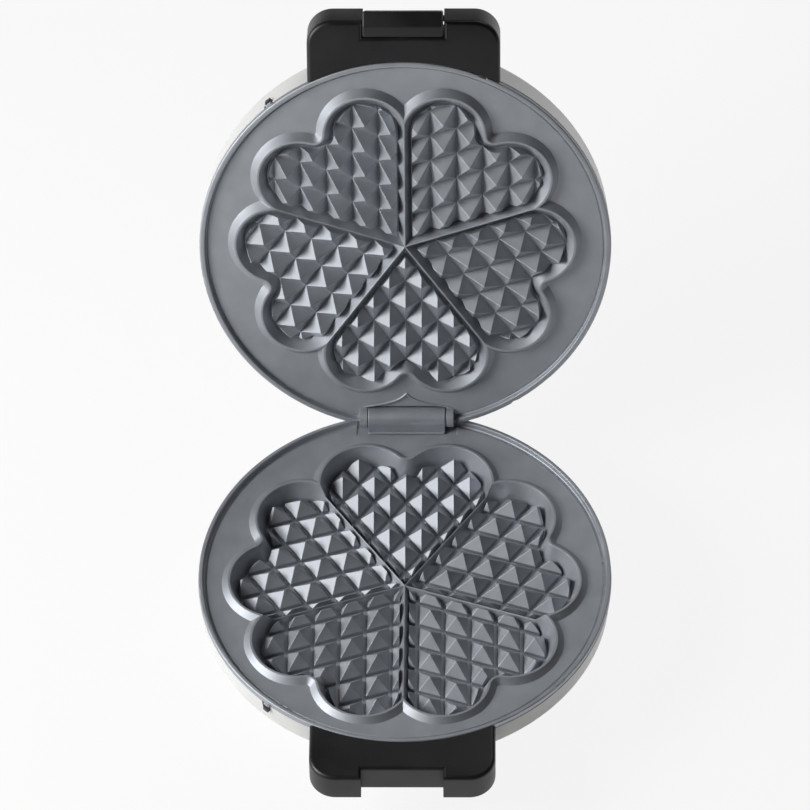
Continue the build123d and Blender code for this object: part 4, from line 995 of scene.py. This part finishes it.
    def build(self) -> None:
        """Makes the knob, its dial and the lenses, and dresses what is behind them."""
        shop = self.workshop
        knob = make_object("fluted_knob", self.knob(), Carrier.KNOB)
        shop.dress(knob, BLACK_NYLON, Carrier.KNOB, "thermostat_knob")
        pointer = make_object("knob_pointer", self.pointer(), Carrier.KNOB)
        shop.dress(pointer, WHITE_INK, Carrier.KNOB)
        shop.dress(make_object("dial_ticks", self.ticks(), Carrier.LID), PRINT_INK, Carrier.LID)
        for number, angle in enumerate(self.dial_angles()):
            shop.dress(self.numeral(number, angle), PRINT_INK, Carrier.LID)
        for colour, side, finish in (("red", -1, RED_LENS), ("green", 1, GREEN_LENS)):
            lens = self.lens(side * self.lamp_x)
            dome = make_object(f"{colour}_lens_dome", lens, Carrier.LID)
            shop.dress(dome, finish, Carrier.LID, f"{colour}_lamp_lens")
        shop.paint_node("thermostat_shaft", ZINC_STEEL)
        shop.paint_node("thermostat_body", PHENOLIC)
        shop.paint_node("lamp_holders", PHENOLIC)
        shop.paint_node("screw_plugs", WHITE_ABS)


@dataclass
class Underside:
    """Bottom cover with its screws, the feet, and the gland and terminals of the heel."""

    workshop: Workshop
    foot_height: float = 4.0
    foot_radius: float = 8.0
    stem_radius: float = 2.5
    hollow: Pairs = ((0.0, 0.6), (4.5, 0.6), (5.2, 0.0))
    cover: float = 2.5
    front_feet: float = 50.0
    rear_foot: tuple[float, float] = (20.0, 95.0)
    screw_place: float = 59.0
    screw_head: float = 2.9
    head_height: float = 1.8
    screw_radius: float = 1.5
    screw_length: float = 9.0
    cross_depth: float = 0.9
    cross_width: float = 0.45
    cross_reach: float = 1.75
    cross_slopes: tuple[float, float] = (0.2, 0.3)
    head_rim: float = 0.45
    heel_rear: float = 106.0
    gland_height: float = 18.0
    gland_bore: float = 3.6
    gland_radius: float = 6.0
    gland_flange: float = 8.5
    gland_depth: float = 5.0
    gland_lip: float = 1.5
    ribs: int = 18
    rib_depth: float = 0.35

    def foot(self) -> Surface:
        """One foot: a flat tread with a shallow hollow, round edges and a stem."""
        radius, stem, top = self.foot_radius, self.stem_radius, self.foot_height
        profile = np.concatenate(
            [
                self.hollow,
                arc(0.8, -90, -20, 6, (radius - 1.1, 0.8)),
                arc(0.5, 0, 90, 5, (radius - 0.5, top - 0.5)),
                [(stem, top), (stem, top + self.cover), (0.0, top + self.cover)],
            ]
        )
        return lathe(profile, 72)

    def feet(self) -> Surface:
        """The four feet at their places."""
        front = self.front_feet / math.sqrt(2)
        rear_x, rear_y = self.rear_foot
        places = [(-front, -front), (front, -front), (-rear_x, rear_y), (rear_x, rear_y)]
        return together([self.foot().moved(x, y) for x, y in places])

    def screw(self) -> Surface:
        """A pan-head screw seen from below, with a cross recess.

        Returns:
            A head whose height falls off as a circle from its middle, less a smooth step inside the
            two bars of the cross, on a plain shank.
        """
        rings, segments = 28, 96
        share = np.linspace(0, 1, rings)[:, None]
        angle = np.linspace(0, TURN, segments, endpoint=False)[None]
        side_slope, end_slope = self.cross_slopes
        x, y = self.screw_head * share * np.cos(angle), self.screw_head * share * np.sin(angle)
        round_part = (1 - self.head_rim) * np.sqrt(np.clip(1 - share**2, 0, 1))
        dome = self.head_height * (self.head_rim + round_part)
        bar_x = np.clip((self.cross_width - np.abs(x)) / side_slope + 0.5, 0, 1)
        bar_y = np.clip((self.cross_width - np.abs(y)) / side_slope + 0.5, 0, 1)
        reach = np.clip((self.cross_reach - self.screw_head * share) / end_slope, 0, 1)
        z = self.foot_height - dome + self.cross_depth * np.maximum(bar_x, bar_y) * reach
        head = np.stack([x, y, np.broadcast_to(z, x.shape)], axis=-1)
        level, radius = self.foot_height, self.screw_radius
        tip = level + self.screw_length
        shank = np.array([(self.screw_head, level), (radius, level), (radius, tip), (0.0, tip)])
        body = lathe(shank, segments)
        points = np.concatenate([head.reshape(-1, 3), body.points])
        return Surface(points, grid_faces(rings + len(shank), segments))

    def screws(self) -> Surface:
        """The cover's four screws at their places."""
        ways, place = ((1, 0), (0, 1), (-1, 0), (0, -1)), self.screw_place
        return together([self.screw().moved(x * place, y * place) for x, y in ways])

    def gland(self) -> Surface:
        """The open gland: a ribbed flange and a collar around a smooth bore."""
        flange, bore, collar = self.gland_flange, self.gland_bore, self.gland_radius
        foot, lip = -self.gland_depth, self.gland_lip
        profile = np.concatenate(
            [
                [(bore, foot), (bore, lip)],
                arc(0.5, 180, 90, 5, (bore + 0.5, lip)),
                arc(0.8, 90, 0, 6, (flange - 0.8, 1.2)),
                [(flange, 0.0), (collar, 0.0), (collar, foot), (bore, foot)],
            ]
        )
        upright = lathe(profile, 96, self.ribs, self.rib_depth)
        x, y, z = upright.points.T
        points = np.stack([x, self.heel_rear + z, self.gland_height - y], axis=-1)
        return Surface(points, upright.faces)

    def build(self) -> None:
        """Makes the feet, screws and gland, and dresses the cover and terminals."""
        shop = self.workshop
        base = Carrier.BASE
        for name, surface, finish, node in (
            ("tread_feet", self.feet(), RUBBER, "rubber_feet"),
            ("cross_head_screws", self.screws(), ZINC_STEEL, "cover_screws"),
            ("open_gland", self.gland(), BLACK_NYLON, "cord_gland"),
        ):
            shop.dress(make_object(name, surface, base), finish, base, node)
        cover = welded_copy("moulded_cover", "bottom_cover")
        shop.dress(cover, GREY_ABS, base, "bottom_cover")
        shop.paint_node("terminal_block", PHENOLIC)


@dataclass
class InnerParts:
    """What the shells hide: heaters, reflectors, fuse, pins and screws."""

    workshop: Workshop

    def build(self) -> None:
        """Dresses each of these nodes."""
        paint = self.workshop.paint_node
        for half in ("lower", "upper"):
            paint(f"{half}_element", HEATER_SHEATH)
            paint(f"{half}_reflector", ALUMINISED_SHEET)
            paint(f"{half}_reflector_screw", ZINC_STEEL)
            paint(f"{half}_plate_screws", ZINC_STEEL)
        paint("hinge_pin", ZINC_STEEL)
        paint("thermal_fuse", ZINC_STEEL)


@dataclass(frozen=True)
class SoftLight:
    """A square soft light that looks at the plates.

    Its azimuth in degrees is counted from +X, and its elevation from the horizon. Its distance from
    the plates and its side are in metres, and its power is in watts.
    """

    name: str
    azimuth: float
    elevation: float
    distance: float
    side: float
    power: float


@dataclass
class Studio:
    """A pale paper floor under a strong soft light from the left and a weak one from behind."""

    floor_colour: str = "f4f4f4"
    floor_reach: float = 4.0
    target: tuple[float, float, float] = (0.0, -0.02, 0.08)
    lights: tuple[SoftLight, ...] = (
        SoftLight("soft_key", 195.0, 31.0, 0.85, 0.42, 6.9),
        SoftLight("back_fill", 60.0, 45.0, 1.0, 0.6, 1.3),
    )
    sky: float = 0.03
    whitening: float = 0.88

    def seen_straight(self, tree) -> bpy.types.NodeSocket:
        """One where the camera looks, straight, in a reflection or through plastic, else zero."""
        path = add_node(tree, "LightPath")
        total = path.outputs["Is Camera Ray"]
        for ray in ("Is Glossy Ray", "Is Transmission Ray"):
            inputs = {0: total, 1: path.outputs[ray]}
            total = add_node(tree, "Math", inputs, operation="MAXIMUM").outputs["Value"]
        return total

    def floor(self) -> None:
        """A flat floor whose view is brightened towards white, with the object's shadow kept."""
        mesh = bpy.data.meshes.new("paper_floor")
        signs = ((-1, -1), (1, -1), (1, 1), (-1, 1))
        corners = [(x * self.floor_reach, y * self.floor_reach, 0) for x, y in signs]
        mesh.from_pydata(corners, [], [(0, 1, 2, 3)])
        material = bpy.data.materials.new("matt_white_paper")
        material.use_nodes = True
        tree = material.node_tree
        tree.nodes.clear()
        inputs = {"Color": linear(self.floor_colour), "Roughness": 0.5}
        paper = add_node(tree, "BsdfDiffuse", inputs)
        glow = add_node(tree, "Emission", {"Color": linear("ffffff"), "Strength": 1.0})
        inputs = {0: self.seen_straight(tree), 1: self.whitening}
        seen = add_node(tree, "Math", inputs, operation="MULTIPLY")
        inputs = {0: seen.outputs["Value"], 1: paper.outputs["BSDF"], 2: glow.outputs["Emission"]}
        both = add_node(tree, "MixShader", inputs)
        add_node(tree, "OutputMaterial", {"Surface": both.outputs["Shader"]})
        mesh.materials.append(material)
        new_object("paper_floor", mesh)

    def light(self, soft: SoftLight) -> None:
        """Adds one soft light."""
        lamp = bpy.data.lights.new(soft.name, "AREA")
        lamp.shape = "SQUARE"
        lamp.size = soft.side
        lamp.energy = soft.power
        piece = new_object(soft.name, lamp)
        around, above = math.radians(soft.azimuth), math.radians(soft.elevation)
        level = math.cos(above)
        away = Vector((math.cos(around) * level, math.sin(around) * level, math.sin(above)))
        piece.location = Vector(self.target) + away * soft.distance
        piece.rotation_euler = away.to_track_quat("Z", "Y").to_euler()

    def world(self) -> None:
        """An even dim sky."""
        world = bpy.data.worlds.new("studio_sky")
        world.use_nodes = True
        tree = world.node_tree
        tree.nodes.clear()
        sky = add_node(tree, "Background", {"Color": linear("ffffff"), "Strength": self.sky})
        add_node(tree, "OutputWorld", {"Surface": sky.outputs["Background"]})
        bpy.context.scene.world = world

    def build(self) -> None:
        """Makes the floor, the lights and the sky, and sets the plain view transform."""
        self.floor()
        for soft in self.lights:
            self.light(soft)
        self.world()
        bpy.context.scene.view_settings.view_transform = "Standard"


@dataclass
class PhotoCamera:
    """The camera that the photograph was taken with, fitted to the plates' outlines.

    Its place is in millimetres from the plates' axis at the floor, and its angles are in degrees.
    """

    place: tuple[float, float, float] = (47.65, -1693.47, 2267.13)
    elevation: float = 51.101
    yaw: float = 1.552
    roll: float = -1.189
    focal: float = 269.8
    sensor: float = 36.0

    def build(self) -> None:
        """Makes the camera and gives it to the scene."""
        lens = bpy.data.cameras.new("photo_camera")
        lens.sensor_fit = "HORIZONTAL"
        lens.sensor_width = self.sensor
        lens.lens = self.focal
        lens.clip_start = 0.1
        lens.clip_end = 50.0
        camera = new_object("photo_camera", lens)
        down, yaw, roll = (math.radians(a) for a in (self.elevation, self.yaw, self.roll))
        level = math.cos(down)
        ahead = Vector((-math.sin(yaw) * level, math.cos(yaw) * level, -math.sin(down)))
        right = Vector((math.cos(yaw), math.sin(yaw), 0))
        up = right.cross(ahead)
        level_right = right * math.cos(roll) + up * math.sin(roll)
        level_up = up * math.cos(roll) - right * math.sin(roll)
        turn = Matrix((level_right, level_up, -ahead)).transposed().to_4x4()
        x, y, z = self.place
        place = Vector((x, y + LAYOUT.centre_y, z)) * MM
        camera.matrix_world = Matrix.Translation(place) @ turn
        bpy.context.scene.camera = camera


def main() -> None:
    """Builds every sub-assembly in order, then the studio and the camera."""
    logging.basicConfig(level=logging.INFO, format="%(message)s")
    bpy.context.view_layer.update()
    PhotoCamera().build()
    workshop = Workshop()
    CookingPlates(workshop).build()
    Shells(workshop).build()
    Handles(workshop).build()
    Latch(workshop).build()
    Controls(workshop).build()
    Underside(workshop).build()
    InnerParts(workshop).build()
    Studio().build()


if __name__ == "__main__":
    main()
